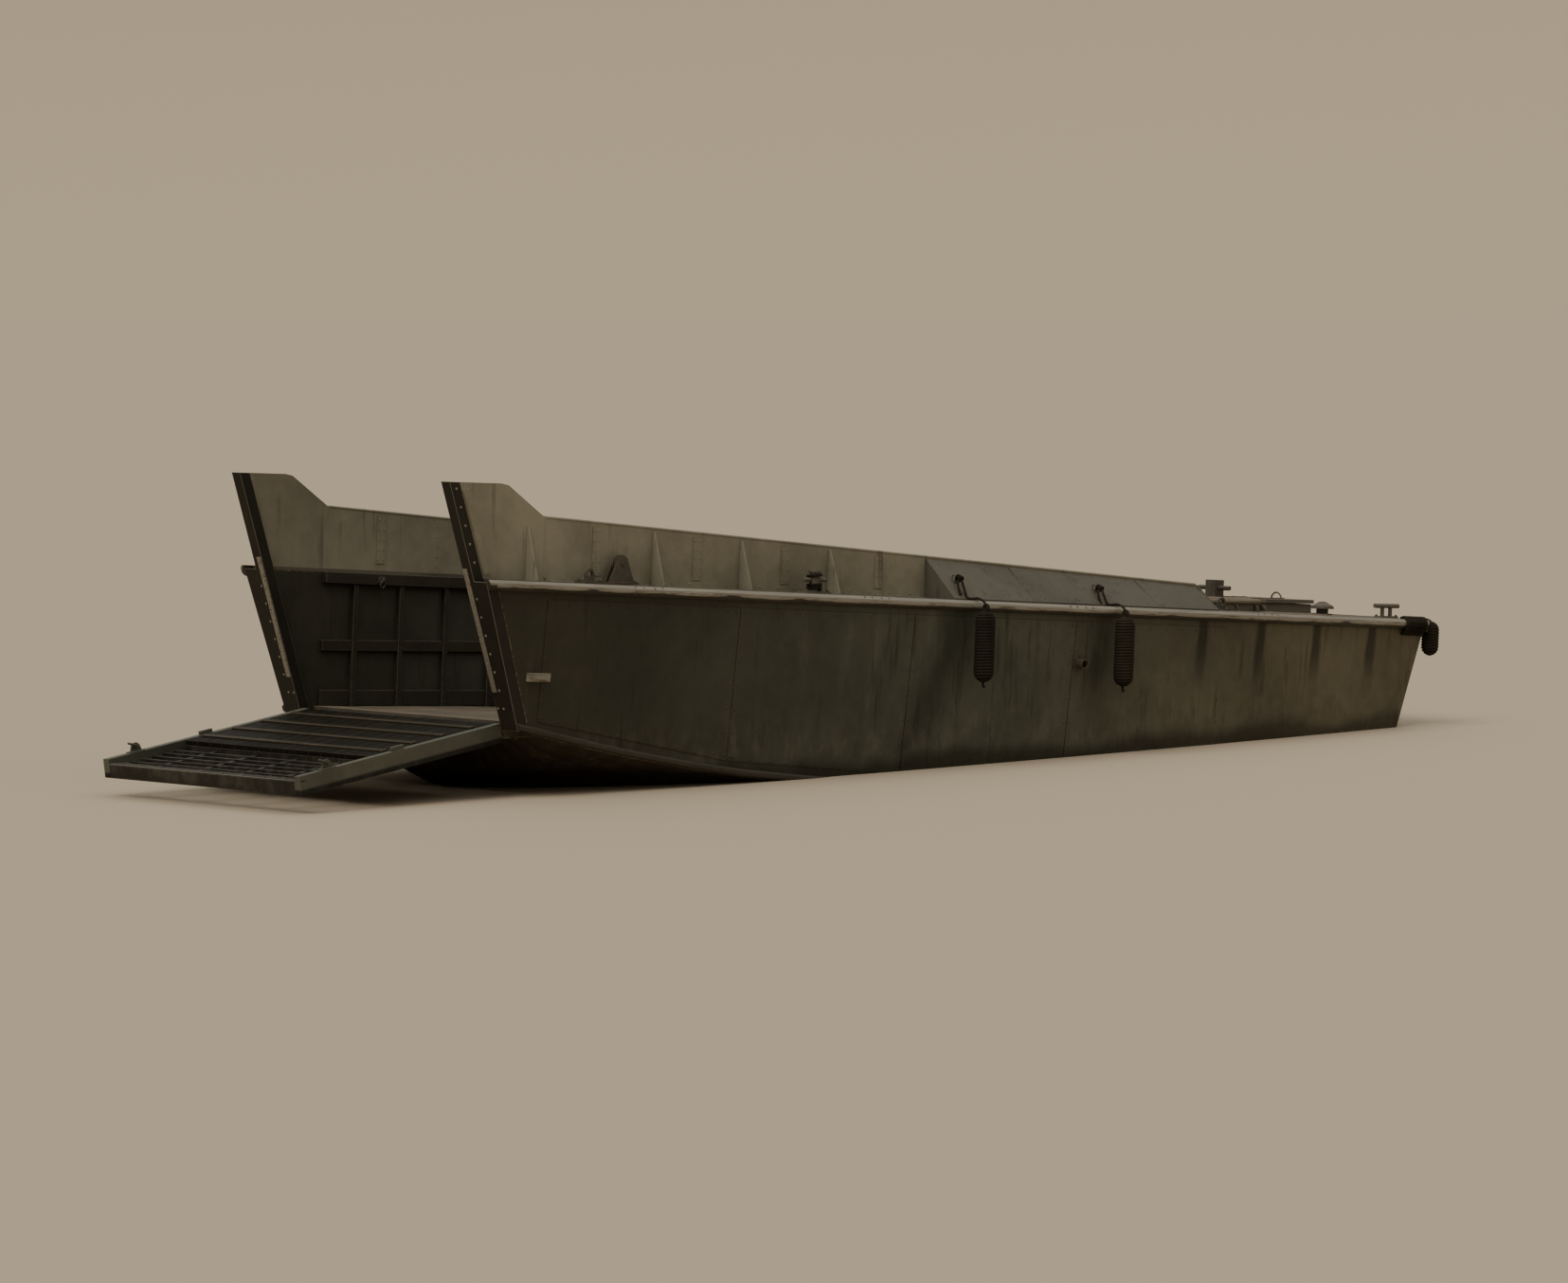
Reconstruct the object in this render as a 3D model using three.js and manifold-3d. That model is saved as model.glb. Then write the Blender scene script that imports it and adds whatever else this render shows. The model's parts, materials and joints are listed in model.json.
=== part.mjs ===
// A wooden landing craft with a steel bow ramp, lowered. Millimetres, +X to the bow, +Y to port, +Z up.
// Everything is placed in the hull's own frame, whose zero height is the floor of the well.
// The outer group then tips the hull by its trim and lifts it, so that the world's zero height is the waterline.
import * as THREE from "three";
import { mergeVertices } from "three/addons/utils/BufferGeometryUtils.js";
import Module from "manifold-3d";

const wasm = await Module();
wasm.setup();

// Driving dimensions of the whole craft
const TRIM = THREE.MathUtils.degToRad(3); // bow up, as it lies on the beach
const FLOOR_ABOVE_WATER = 320; // floor of the well above the waterline, amidships
const GAP = 0.3; // between pieces that touch
const WELL_HALF = 1190; // half the width of the cargo well
const JAMB_HALF = 1120; // half the clear width between the bow posts
const WELL_AFT = -700; // forward face of the bulkhead behind the well
const COCKPIT_AFT = -2830; // forward face of the bulkhead behind the engine
const DECK_THICK = 25;
const FLOOR_THICK = 30;
const SHELL = 50; // transom thickness

// The bow's raked front plane and the transom's raked outer plane
const BOW_FOOT = 4690; // x of the front plane at floor height
const BOW_RAKE = 0.38; // forward lean, mm per mm of height
const WING_TOP = 1750;
const POST_DEPTH = 98;
const STERN_TOP = -5500; // x of the transom's top edge
const STERN_TOP_Z = 870;
const STERN_RAKE = 0.287;
const bowFront = (z) => BOW_FOOT + BOW_RAKE * z;
const sternFace = (z) => STERN_TOP + STERN_RAKE * (STERN_TOP_Z - z);

// Hull lines: x, half-breadth at the deck edge, half-breadth at the chine, chine height, keel height
const LINES = [
  [-5700, 1395, 1300, -395, -480],
  [-4600, 1465, 1360, -430, -600],
  [-3000, 1555, 1430, -480, -740],
  [-1000, 1600, 1468, -505, -830],
  [1000, 1600, 1470, -490, -850],
  [2500, 1560, 1440, -400, -820],
  [3600, 1480, 1378, -255, -710],
  [4200, 1425, 1330, -150, -540],
  [4500, 1398, 1306, -92, -190],
  [5400, 1325, 1240, 60, 20],
];
const STATIONS = [-5700, -5150, -4600, -4100, -3600, -3000, -2400, -1700, -1000, -300, 300, 1000, 1750]
  .concat([2500, 3000, 3350, 3600, 3900, 4050, 4200, 4350, 4420, 4490, 4700, 5000, 5400]);

// A smooth curve through one column of the table
function line(column) {
  const rows = LINES;
  const slope = (i) => {
    const a = rows[Math.max(i - 1, 0)];
    const b = rows[Math.min(i + 1, rows.length - 1)];
    return (b[column] - a[column]) / (b[0] - a[0]);
  };
  return (x) => {
    let i = 0;
    while (i < rows.length - 2 && x > rows[i + 1][0]) i += 1;
    const span = rows[i + 1][0] - rows[i][0];
    const t = (x - rows[i][0]) / span;
    const [p, q] = [rows[i][column], rows[i + 1][column]];
    const [m, n] = [slope(i) * span, slope(i + 1) * span];
    const [t2, t3] = [t * t, t * t * t];
    return (2 * t3 - 3 * t2 + 1) * p + (t3 - 2 * t2 + t) * m + (3 * t2 - 2 * t3) * q + (t3 - t2) * n;
  };
}
const sheerHalf = line(1);
const chineHalf = line(2);
const chineZ = line(3);
const keelZ = line(4);
const sheerZ = (x) => 958 + 0.0189 * x;
// The coamings fall toward the stern, measured above the side deck
const COAMING = { x: 4400, rise: 470, fall: 0.0375 };
const coamingTop = (x) => sheerZ(x) + COAMING.rise - COAMING.fall * (COAMING.x - x);
// Half-breadth of the topside planking at a height
const sideHalf = (x, z) =>
  chineHalf(x) + ((sheerHalf(x) - chineHalf(x)) * (z - chineZ(x))) / (sheerZ(x) - chineZ(x));

// Geometry in, solid out
function solid(geometry) {
  const bare = geometry.index ? geometry.toNonIndexed() : geometry.clone();
  for (const name of Object.keys(bare.attributes)) if (name !== "position") bare.deleteAttribute(name);
  const merged = mergeVertices(bare, 1e-3);
  return new wasm.Manifold(
    new wasm.Mesh({
      numProp: 3,
      vertProperties: merged.attributes.position.array,
      triVerts: new Uint32Array(merged.index.array),
    }),
  );
}
function geometryOf(shape) {
  const mesh = shape.getMesh();
  const flat = new THREE.BufferGeometry();
  flat.setAttribute("position", new THREE.BufferAttribute(new Float32Array(mesh.vertProperties), 3));
  flat.setIndex(new THREE.BufferAttribute(new Uint32Array(mesh.triVerts), 1));
  const faceted = flat.toNonIndexed();
  faceted.computeVertexNormals();
  return faceted;
}
const joined = (shapes) => shapes.reduce((all, one) => all.add(one));
const cut = (shape, tools) => tools.reduce((left, tool) => left.subtract(tool), shape);

// Simple shapes. Outlines are lists of pairs, anticlockwise.
function outlineOf(points) {
  return new THREE.Shape(points.map(([a, b]) => new THREE.Vector2(a, b)));
}
function sidePlate(points, y0, y1) {
  const made = new THREE.ExtrudeGeometry(outlineOf(points), { depth: y1 - y0, bevelEnabled: false });
  return solid(made.rotateX(Math.PI / 2).translate(0, y1, 0));
}
function flatPlate(points, z0, z1) {
  const made = new THREE.ExtrudeGeometry(outlineOf(points), { depth: z1 - z0, bevelEnabled: false });
  return solid(made.translate(0, 0, z0));
}
function box(x0, x1, y0, y1, z0, z1) {
  const made = new THREE.BoxGeometry(x1 - x0, y1 - y0, z1 - z0);
  return solid(made.translate((x0 + x1) / 2, (y0 + y1) / 2, (z0 + z1) / 2));
}
// A cylinder between two points
function rod(from, to, radius, sides = 14) {
  const a = new THREE.Vector3(...from);
  const b = new THREE.Vector3(...to);
  const made = new THREE.CylinderGeometry(radius, radius, a.distanceTo(b), sides);
  const turn = new THREE.Quaternion().setFromUnitVectors(new THREE.Vector3(0, 1, 0), b.clone().sub(a).normalize());
  const middle = a.clone().add(b).multiplyScalar(0.5);
  return solid(made.applyQuaternion(turn).translate(middle.x, middle.y, middle.z));
}
function ring(radius, tube, around = 36, section = 8) {
  return solid(new THREE.TorusGeometry(radius, tube, section, around));
}
// A half-round lifting grip that stands on the zero height, along X
function grip(radius) {
  return ring(radius, 8, 20, 6).rotate([90, 0, 0]).trimByPlane([0, 0, 1], -10);
}
// A round rope through a list of points
function rope(points, radius) {
  const runs = points.slice(1).map((point, k) => rod(points[k], point, radius, 8));
  const bends = points.slice(1, -1).map((point) => solid(new THREE.SphereGeometry(radius, 8, 6).translate(...point)));
  return joined([...runs, ...bends]);
}
// A closed skin over rings of equal length, with flat ends
function loft(rings) {
  const count = rings[0].length;
  const positions = [];
  const triangle = (a, b, c) => positions.push(...a, ...b, ...c);
  for (let i = 0; i + 1 < rings.length; i += 1) {
    for (let k = 0; k < count; k += 1) {
      const next = (k + 1) % count;
      const [a, b] = [rings[i][k], rings[i][next]];
      const [c, d] = [rings[i + 1][next], rings[i + 1][k]];
      triangle(a, b, c);
      triangle(a, c, d);
    }
  }
  const end = (points, forward) => {
    const flat = points.map(([, y, z]) => new THREE.Vector2(y, z));
    for (const [i, j, k] of THREE.ShapeUtils.triangulateShape(flat, [])) {
      if (forward) triangle(points[i], points[j], points[k]);
      else triangle(points[k], points[j], points[i]);
    }
  };
  end(rings[0], false);
  end(rings.at(-1), true);
  const skin = new THREE.BufferGeometry();
  skin.setAttribute("position", new THREE.BufferAttribute(new Float32Array(positions), 3));
  return solid(skin);
}
const hullLoft = (section, stations = STATIONS) =>
  loft(stations.map((x) => section(x).map(([y, z]) => [x, y, z])));
const mirrored = (shape) => shape.mirror([0, 1, 0]);

// Half-spaces that trim the ends, as large wedges
const FAR = 9000;
function aheadOfBow(offset) {
  const at = (z) => bowFront(z) + offset;
  return sidePlate([[at(-FAR), -FAR], [FAR, -FAR], [FAR, FAR], [at(FAR), FAR]], -FAR, FAR);
}
function behindStern(offset) {
  const at = (z) => sternFace(z) + offset;
  return sidePlate([[-FAR, -FAR], [at(-FAR), -FAR], [at(FAR), FAR], [-FAR, FAR]], -FAR, FAR);
}

const paint = (color, roughness, metalness = 0) => new THREE.MeshStandardMaterial({ color, roughness, metalness });
const MATERIALS = {
  hull: paint(0x33322a, 0.7),
  bottom: paint(0x2a2622, 0.75),
  deck: paint(0x4a473c, 0.8),
  armour: paint(0x5d5848, 0.6, 0.3),
  guard: paint(0x4d483a, 0.75),
  timber: paint(0x5a5142, 0.85),
  steel: paint(0x45433c, 0.5, 0.6),
  bronze: paint(0x7a6234, 0.4, 0.9),
  machine: paint(0x3c423c, 0.5, 0.3),
  rope: paint(0x6b5c40, 0.9),
};

const craft = new THREE.Group();
craft.rotation.y = -TRIM;
craft.position.z = FLOOR_ABOVE_WATER;
function add(name, shape, finish, parent = craft) {
  const mesh = new THREE.Mesh(geometryOf(shape), MATERIALS[finish]);
  mesh.name = name;
  parent.add(mesh);
  return mesh;
}
const SIDES = [
  ["port", (shape) => shape],
  ["starboard", mirrored],
];

// Propeller tunnel: a smooth hollow in the bottom over the screw. Columns: x, centre height
const TUNNEL_HALF = 312;
const TUNNEL = [[-3250, -1050], [-3650, -875], [-4050, -752], [-4700, -748], [-5900, -790]];
const tunnel = loft(
  TUNNEL.toReversed().map(([x, z]) =>
    Array.from({ length: 24 }, (unused, k) => {
      const turn = (2 * Math.PI * k) / 24;
      return [x, TUNNEL_HALF * Math.cos(turn), z + TUNNEL_HALF * Math.sin(turn)];
    }),
  ),
);

// The line of the propeller shaft, and the bore it turns in
const SCREW = { x: -4050, z: -745, lean: THREE.MathUtils.degToRad(6) };
const SHAFT_R = 34;
const shaftLine = (d) => [SCREW.x + Math.cos(SCREW.lean) * d, 0, SCREW.z + Math.sin(SCREW.lean) * d];
const shaftBore = rod(shaftLine(150), shaftLine(900), SHAFT_R + 0.5, 24);

// Bottom of the hull, solid below the floor boards
const ENGINE_PIT = { x0: -2620, x1: -900, half: 420, floor: -420 };
const STOCK_X = -4560;
function bottomSection(x) {
  const [zc, zk, half] = [chineZ(x) - GAP, Math.min(keelZ(x), chineZ(x) - 2), chineHalf(x)];
  const top = Math.max(-FLOOR_THICK - GAP, zc + 1);
  const right = [
    [-half * 0.28, zk + 0.2 * (zc - zk)],
    [-half * 0.66, zk + 0.56 * (zc - zk)],
  ];
  const port = right.map(([y, z]) => [-y, z]);
  return [
    [0, zk], port[0], port[1], [half, zc], [WELL_HALF - GAP, zc], [WELL_HALF - GAP, top],
    [-WELL_HALF + GAP, top], [-WELL_HALF + GAP, zc], [-half, zc], right[1], right[0],
  ];
}
const HEADLOG_AFT = 4290;
const HEADLOG_FRONT = 4490;
const bottomStations = STATIONS.filter((x) => x <= HEADLOG_FRONT);
const bottomBlank = cut(hullLoft(bottomSection, bottomStations), [tunnel, behindStern(SHELL + GAP)]);
const hullBottom = cut(bottomBlank, [
  shaftBore,
  box(ENGINE_PIT.x0, ENGINE_PIT.x1, -ENGINE_PIT.half, ENGINE_PIT.half, ENGINE_PIT.floor, 100),
  box(HEADLOG_AFT - GAP, FAR, -WELL_HALF, WELL_HALF, -75 - GAP, 100),
  rod([STOCK_X, 0, -600], [STOCK_X, 0, -380], 34),
]);
add("hull_bottom", hullBottom, "bottom");
add("headlog", box(HEADLOG_AFT, HEADLOG_FRONT, -WELL_HALF + GAP, WELL_HALF - GAP, -75, 0), "timber");

// Topsides: the planked side, its inner ceiling and what is between them, as one wall
const wallSection = (inner) => (x) => {
  const top = sheerZ(x) - DECK_THICK - GAP;
  return [[inner, chineZ(x)], [chineHalf(x), chineZ(x)], [sideHalf(x, top), top], [inner, top]];
};
const bowPlane = aheadOfBow(0);
const postBack = aheadOfBow(-POST_DEPTH);
const topside = hullLoft(wallSection(WELL_HALF));
const wallPort = cut(topside, [aheadOfBow(-POST_DEPTH - GAP), behindStern(SHELL + GAP)]);
for (const [side, put] of SIDES) add(`hull_side_${side}`, put(wallPort), "hull");

// Bow posts: raked steel jambs from the ramp hinge to the top of the wings
const WING_OUT = WELL_HALF + 25;
const POST_FOOT = -60;
const jamb = hullLoft(wallSection(JAMB_HALF), STATIONS.filter((x) => x >= 4350))
  .intersect(postBack)
  .subtract(bowPlane)
  .subtract(box(0, FAR, 0, FAR, -FAR, POST_FOOT));
const postHead = sidePlate(
  [900, WING_TOP].map((z) => [bowFront(z) - POST_DEPTH, z])
    .toReversed().concat([900, WING_TOP].map((z) => [bowFront(z), z])),
  JAMB_HALF, WING_OUT,
);
const post = joined([jamb, postHead]);
for (const [side, put] of SIDES) add(`bow_post_${side}`, put(post), "armour");

// A triangular knee that stands on the side deck and holds an upright plate from outside
const KNEE_THICK = 14;
function knee(x, height) {
  const foot = sheerZ(x) + GAP + 1;
  const head = foot + height;
  const reach = Math.min(150, 0.62 * height + 30);
  const outline = [
    [WELL_HALF + 2, foot], [WELL_HALF + reach, foot], [WELL_HALF + reach, foot + 12],
    [WELL_HALF + 30, head], [WELL_HALF + 2, head],
  ];
  return loft([x, x + KNEE_THICK].map((at) => outline.map(([y, z]) => [at, y, z])));
}

// Wings: armour plates that stand on the side deck behind the posts, each held by a knee
const WING_AFT = COAMING.x;
const WING_FRONT_FOOT = 4992; // x of the wing's forward corner on the deck
const WING_KNEE = [4560, 400]; // x, height
const WING_SHOULDER = [4840, 4770]; // x where its level top ends, and a little below that
const wingBase = (x) => sheerZ(x) + GAP;
const wingFront = (z) => bowFront(z) - POST_DEPTH - GAP;
const wingFoot = wingBase(WING_FRONT_FOOT);
const wing = sidePlate(
  [
    [WING_AFT, wingBase(WING_AFT)], [wingFront(wingFoot), wingFoot], [wingFront(WING_TOP), WING_TOP],
    [WING_SHOULDER[0], WING_TOP], [WING_SHOULDER[1], WING_TOP - 12], [WING_AFT, coamingTop(WING_AFT)],
  ],
  WELL_HALF, WING_OUT,
).add(knee(...WING_KNEE));
for (const [side, put] of SIDES) add(`bow_wing_${side}`, put(wing), "armour");

// Coamings: tapering armour strakes along the well, each held by knees on the side deck
const COAMING_THICK = 16;
const COAMING_END = -3120;
const KNEES = [3270, 2350, 1400]; // x of each knee
const strake = sidePlate(
  [
    [COAMING_END, wingBase(COAMING_END)], [WING_AFT - GAP, wingBase(WING_AFT)],
    [WING_AFT - GAP, coamingTop(WING_AFT)], [-2850, coamingTop(-2850)],
  ],
  WELL_HALF, WELL_HALF + COAMING_THICK,
);
const kneeRise = (x) => coamingTop(x) - sheerZ(x) - 26;
const coaming = joined([strake, ...KNEES.map((x) => knee(x, kneeRise(x)))]);
for (const [side, put] of SIDES) add(`coaming_${side}`, put(coaming), "armour");

// Splash plates: beside the engine, a sloping plate from the guard up to the coaming's top edge,
// closed at its forward end. Two ring bolts stand on its slope.
const SPLASH = { x0: -2800, x1: 340, foot: 70 }; // foot: how far inside the deck edge it stands
const FENDERS = [["forward", 200], ["aft", -1420]]; // name, x
const splashFoot = (x) => sheerHalf(x) - SPLASH.foot;
const splashHead = (x) => coamingTop(x) - 12;
const splashSection = (x) => {
  const [inner, foot] = [WELL_HALF + COAMING_THICK + GAP, sheerZ(x) + GAP + 1];
  return [[inner, foot], [splashFoot(x), foot], [splashFoot(x), foot + 8], [inner, splashHead(x)]];
};
const splashStations = [SPLASH.x0, ...STATIONS.filter((x) => x > SPLASH.x0 && x < SPLASH.x1), SPLASH.x1];
// A point on the slope, at a share of the way from its foot to its head
function onSplash(x, share) {
  const inner = WELL_HALF + COAMING_THICK;
  return [
    THREE.MathUtils.lerp(splashFoot(x), inner, share),
    THREE.MathUtils.lerp(sheerZ(x) + 8, splashHead(x), share),
  ];
}
const RING_BOLT_SHARE = 0.45;
function ringBolt(x) {
  const [y, z] = onSplash(x, RING_BOLT_SHARE);
  const eye = ring(20, 6, 12, 6).rotate([90, 0, 90]);
  return joined([rod([x, y, z - 12], [x, y, z + 14], 26), eye.translate([x, y, z + 30])]);
}
const splashPlate = joined([hullLoft(splashSection, splashStations), ...FENDERS.map(([, x]) => ringBolt(x))]);
for (const [side, put] of SIDES) add(`splash_plate_${side}`, put(splashPlate), "armour");

// Side decks, with the mooring posts that are fixed to them
const MOORING_POST = [1750, 1400]; // x, y
const STERN_CLEAT = [-5190, 1230];
function mooringPost([x, y]) {
  const z = sheerZ(x) - 3;
  return joined([
    box(x - 130, x + 130, y - 55, y + 55, z, z + 17),
    rod([x, y, z], [x, y, z + 165], 42, 18),
    rod([x, y, z + 160], [x, y, z + 178], 52, 18),
    rod([x - 120, y, z + 105], [x + 120, y, z + 105], 16, 14),
  ]);
}
function hornCleat([x, y]) {
  const z = sheerZ(x) - 3;
  const feet = [-50, 50].map((d) => rod([x + d, y, z], [x + d, y, z + 98], 17, 14));
  const horn = rod([x - 150, y, z + 101], [x + 150, y, z + 101], 19, 14);
  return joined([box(x - 110, x + 110, y - 40, y + 40, z, z + 17), ...feet, horn]);
}
// A lifting eye: a foot plate that lies on the deck, with a drilled plate standing on it along X
const LIFTING_EYES = [["forward", 4020, 1310], ["aft", -3000, 1330]]; // name, x, y
function liftingEye(x, y) {
  const foot = sheerZ(x + 90) + GAP;
  const eye = rod([x, y - 11, foot + 62], [x, y + 11, foot + 62], 45).add(box(x - 45, x + 45, y - 11, y + 11, foot, foot + 62));
  const hole = rod([x, y - 20, foot + 66], [x, y + 20, foot + 66], 24);
  return box(x - 90, x + 90, y - 55, y + 55, foot, foot + 16).add(eye).subtract(hole);
}
const deckSection = (x) => [
  [WELL_HALF, sheerZ(x) - DECK_THICK], [sideHalf(x, sheerZ(x) - DECK_THICK), sheerZ(x) - DECK_THICK],
  [sheerHalf(x), sheerZ(x)], [WELL_HALF, sheerZ(x)],
];
const sideDeck = cut(hullLoft(deckSection), [
  aheadOfBow(-POST_DEPTH - GAP),
  box(-FAR, COCKPIT_AFT + GAP, -FAR, FAR, 0, FAR),
]);
const fittedSideDeck = joined([sideDeck, mooringPost(MOORING_POST)]);
for (const [side, put] of SIDES) {
  add(`side_deck_${side}`, put(fittedSideDeck), "deck");
  for (const [place, x, y] of LIFTING_EYES) add(`lifting_eye_${place}_${side}`, put(liftingEye(x, y)), "steel");
}

// Afterdeck with two round cockpits and a square hatch
const COCKPIT_X = -3700;
const COCKPIT_Y = 560;
const COCKPIT_R = 415;
const HATCH = { x0: -5230, x1: -4730, half: 300 };
const afterSection = (x) => {
  const [z1, z0] = [sheerZ(x), sheerZ(x) - DECK_THICK];
  return [[-sideHalf(x, z0), z0], [sideHalf(x, z0), z0], [sheerHalf(x), z1], [-sheerHalf(x), z1]];
};
const cockpitHoles = [1, -1].map((side) =>
  rod([COCKPIT_X, side * COCKPIT_Y, 700], [COCKPIT_X, side * COCKPIT_Y, 1100], COCKPIT_R + 16 + GAP, 36),
);
const hatchRim = box(HATCH.x0 - 40, HATCH.x1 + 40, -HATCH.half - 40, HATCH.half + 40, 850, 935);
const afterdeck = cut(hullLoft(afterSection), [box(COCKPIT_AFT, FAR, -FAR, FAR, 0, FAR), behindStern(0), ...cockpitHoles])
  .add(hatchRim)
  .subtract(box(HATCH.x0, HATCH.x1, -HATCH.half, HATCH.half, 700, 1000));
const cleat = hornCleat(STERN_CLEAT);
add("afterdeck", joined([afterdeck, cleat, mirrored(cleat)]), "deck");
const HATCH_LID_Z = 941;
const lid = box(HATCH.x0 - 55, HATCH.x1 + 55, -HATCH.half - 55, HATCH.half + 55, HATCH_LID_Z, HATCH_LID_Z + 30);
const lidGrip = grip(55).rotate([0, 0, 90]).translate([HATCH.x0 + 20, 0, HATCH_LID_Z + 25]);
add("stern_hatch_lid", lid.add(lidGrip), "deck");

// Round cockpits: a tub under each hole, with a ring rail round its rim
for (const [side, sign] of [["port", 1], ["starboard", -1]]) {
  const y = sign * COCKPIT_Y;
  const foot = -FLOOR_THICK;
  const tub = rod([COCKPIT_X, y, foot], [COCKPIT_X, y, 950], COCKPIT_R + 16, 36)
    .subtract(rod([COCKPIT_X, y, foot + 25], [COCKPIT_X, y, 1100], COCKPIT_R, 36));
  const rail = ring(COCKPIT_R + 8, 24, 36, 8).translate([COCKPIT_X, y, 962]);
  add(`cockpit_tub_${side}`, tub.add(rail), "deck");
}

// Transom, and the guards that protect the edges
function outerSection(x) {
  const below = bottomSection(x).filter(([y, z], k) => k < 4 || k > 7);
  const top = sheerZ(x) - DECK_THICK - GAP;
  const [first, ...rest] = below;
  const port = rest.filter(([y]) => y > 0);
  const starboard = rest.filter(([y]) => y < 0);
  return [first, ...port, [sideHalf(x, top), top], [-sideHalf(x, top), top], ...starboard];
}
const transom = cut(hullLoft(outerSection, [-5900, -5700, -5150, -4600]), [tunnel, behindStern(0)])
  .intersect(behindStern(SHELL));
add("transom", transom, "hull");

const GUARD = { deep: 86, proud: 50 };
const guardSection = (x) => {
  const [top, y] = [sheerZ(x), sheerHalf(x) + GAP];
  const foot = sideHalf(x, top - GUARD.deep) + GAP;
  return [
    [foot, top - GUARD.deep], [foot + 0.6 * GUARD.proud, top - 0.93 * GUARD.deep], [foot + GUARD.proud, top - 0.7 * GUARD.deep],
    [y + GUARD.proud, top - 0.3 * GUARD.deep], [y + 0.6 * GUARD.proud, top - 0.05 * GUARD.deep], [y, top],
  ];
};
const sheerGuard = cut(hullLoft(guardSection), [bowPlane, behindStern(0)]);
const chineSection = (x) => {
  const z = chineZ(x) + 6;
  const [low, high] = [sideHalf(x, z) + GAP, sideHalf(x, z + 58) + GAP];
  return [[low, z], [low + 30, z + 8], [low + 34, z + 42], [high, z + 58]];
};
const chineGuard = cut(hullLoft(chineSection), [bowPlane, behindStern(0)]);
for (const [side, put] of SIDES) {
  add(`sheer_guard_${side}`, put(sheerGuard), "guard");
  add(`chine_guard_${side}`, put(chineGuard), "guard");
}
const sternGuardOutline = [
  [sternFace(750) - GAP, 750], [sternFace(852) - GAP, 852], [sternFace(852) - 20, 852],
  [sternFace(830) - 50, 830], [sternFace(780) - 50, 780], [sternFace(750) - 28, 750],
];
const sternGuard = sidePlate(sternGuardOutline, -1440, 1440).subtract(sheerGuard.translate([0, -GAP, 0]));
add("stern_guard", sternGuard, "guard");

// Inside the well and round the engine
const floorBoards = (x0, x1) => box(x0, x1, -WELL_HALF + 2, WELL_HALF - 2, -FLOOR_THICK, 0);
const enginePitHole = box(ENGINE_PIT.x0, ENGINE_PIT.x1, -ENGINE_PIT.half, ENGINE_PIT.half, -100, 100);
add("well_floor", floorBoards(WELL_AFT + 1, HEADLOG_AFT - GAP), "timber");
add("passage_floor", floorBoards(COCKPIT_AFT + 1, WELL_AFT - GAP).subtract(enginePitHole), "timber");
const bulkhead = (x, top) => box(x - 40, x, -WELL_HALF + 2, WELL_HALF - 2, GAP, top);
add("well_bulkhead", bulkhead(WELL_AFT, 930), "hull");
add("cockpit_bulkhead", bulkhead(COCKPIT_AFT + 40 - GAP, sheerZ(COCKPIT_AFT) - DECK_THICK - 2), "hull");

const CASE = { x0: -2740, x1: -790, half: 570, top: 880, wall: 40 };
const engineCase = box(CASE.x0, CASE.x1, -CASE.half, CASE.half, GAP, CASE.top).subtract(
  box(CASE.x0 + CASE.wall, CASE.x1 - CASE.wall, -CASE.half + CASE.wall, CASE.half - CASE.wall, -50, 1200),
);
add("engine_case", engineCase, "hull");
add("engine", box(-2540, -1000, -340, 340, ENGINE_PIT.floor + GAP, 760), "machine");
const COVER_Z = CASE.top + 6;
for (const [side, put] of SIDES) {
  const leaf = box(CASE.x0 - 10, CASE.x1 + 10, 4, CASE.half + 10, COVER_Z, COVER_Z + 35);
  const lift = grip(60).translate([(CASE.x0 + CASE.x1) / 2, 70, COVER_Z + 30]);
  add(`engine_cover_${side}`, put(leaf.add(lift)), "hull");
}

// Steering stand in the port passage, with its levers, and the wheel that turns on it
const WHEEL = { x: -1010, y: 880, z: 985, lean: 28, radius: 215 };
const wheelAxis = [-Math.cos(THREE.MathUtils.degToRad(WHEEL.lean)), 0, Math.sin(THREE.MathUtils.degToRad(WHEEL.lean))];
const along = (distance) => [WHEEL.x + wheelAxis[0] * distance, WHEEL.y, WHEEL.z + wheelAxis[2] * distance];
const stand = sidePlate([[-741, 1], [-741, 900], [-790, 900], [-925, 800], [-925, 1]].toReversed(), 700, 1060);
const column = rod(along(-285), along(-30), 26);
const levers = [730, 770].flatMap((y, k) => [
  rod([-830, y, 840], [-850 - 50 * k, y, 1050], 8, 12),
  solid(new THREE.SphereGeometry(20, 10, 8).translate(-850 - 50 * k, y, 1055)),
]);
add("steering_stand", joined([stand, column, ...levers]), "machine");
const wheelHub = rod([0, 0, -24], [0, 0, 40], 34);
const wheelSpokes = [0, 1, 2, 3].map((k) => {
  const turn = (Math.PI * k) / 2 + Math.PI / 4;
  return rod([0, 0, 8], [WHEEL.radius * Math.cos(turn), WHEEL.radius * Math.sin(turn), 8], 10, 8);
});
const wheel = joined([ring(WHEEL.radius, 15, 36, 8).translate([0, 0, 8]), wheelHub, ...wheelSpokes]);
const wheelMesh = add("steering_wheel", wheel, "steel");
wheelMesh.position.set(WHEEL.x, WHEEL.y, WHEEL.z);
wheelMesh.quaternion.setFromUnitVectors(new THREE.Vector3(0, 0, 1), new THREE.Vector3(...wheelAxis));

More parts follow.
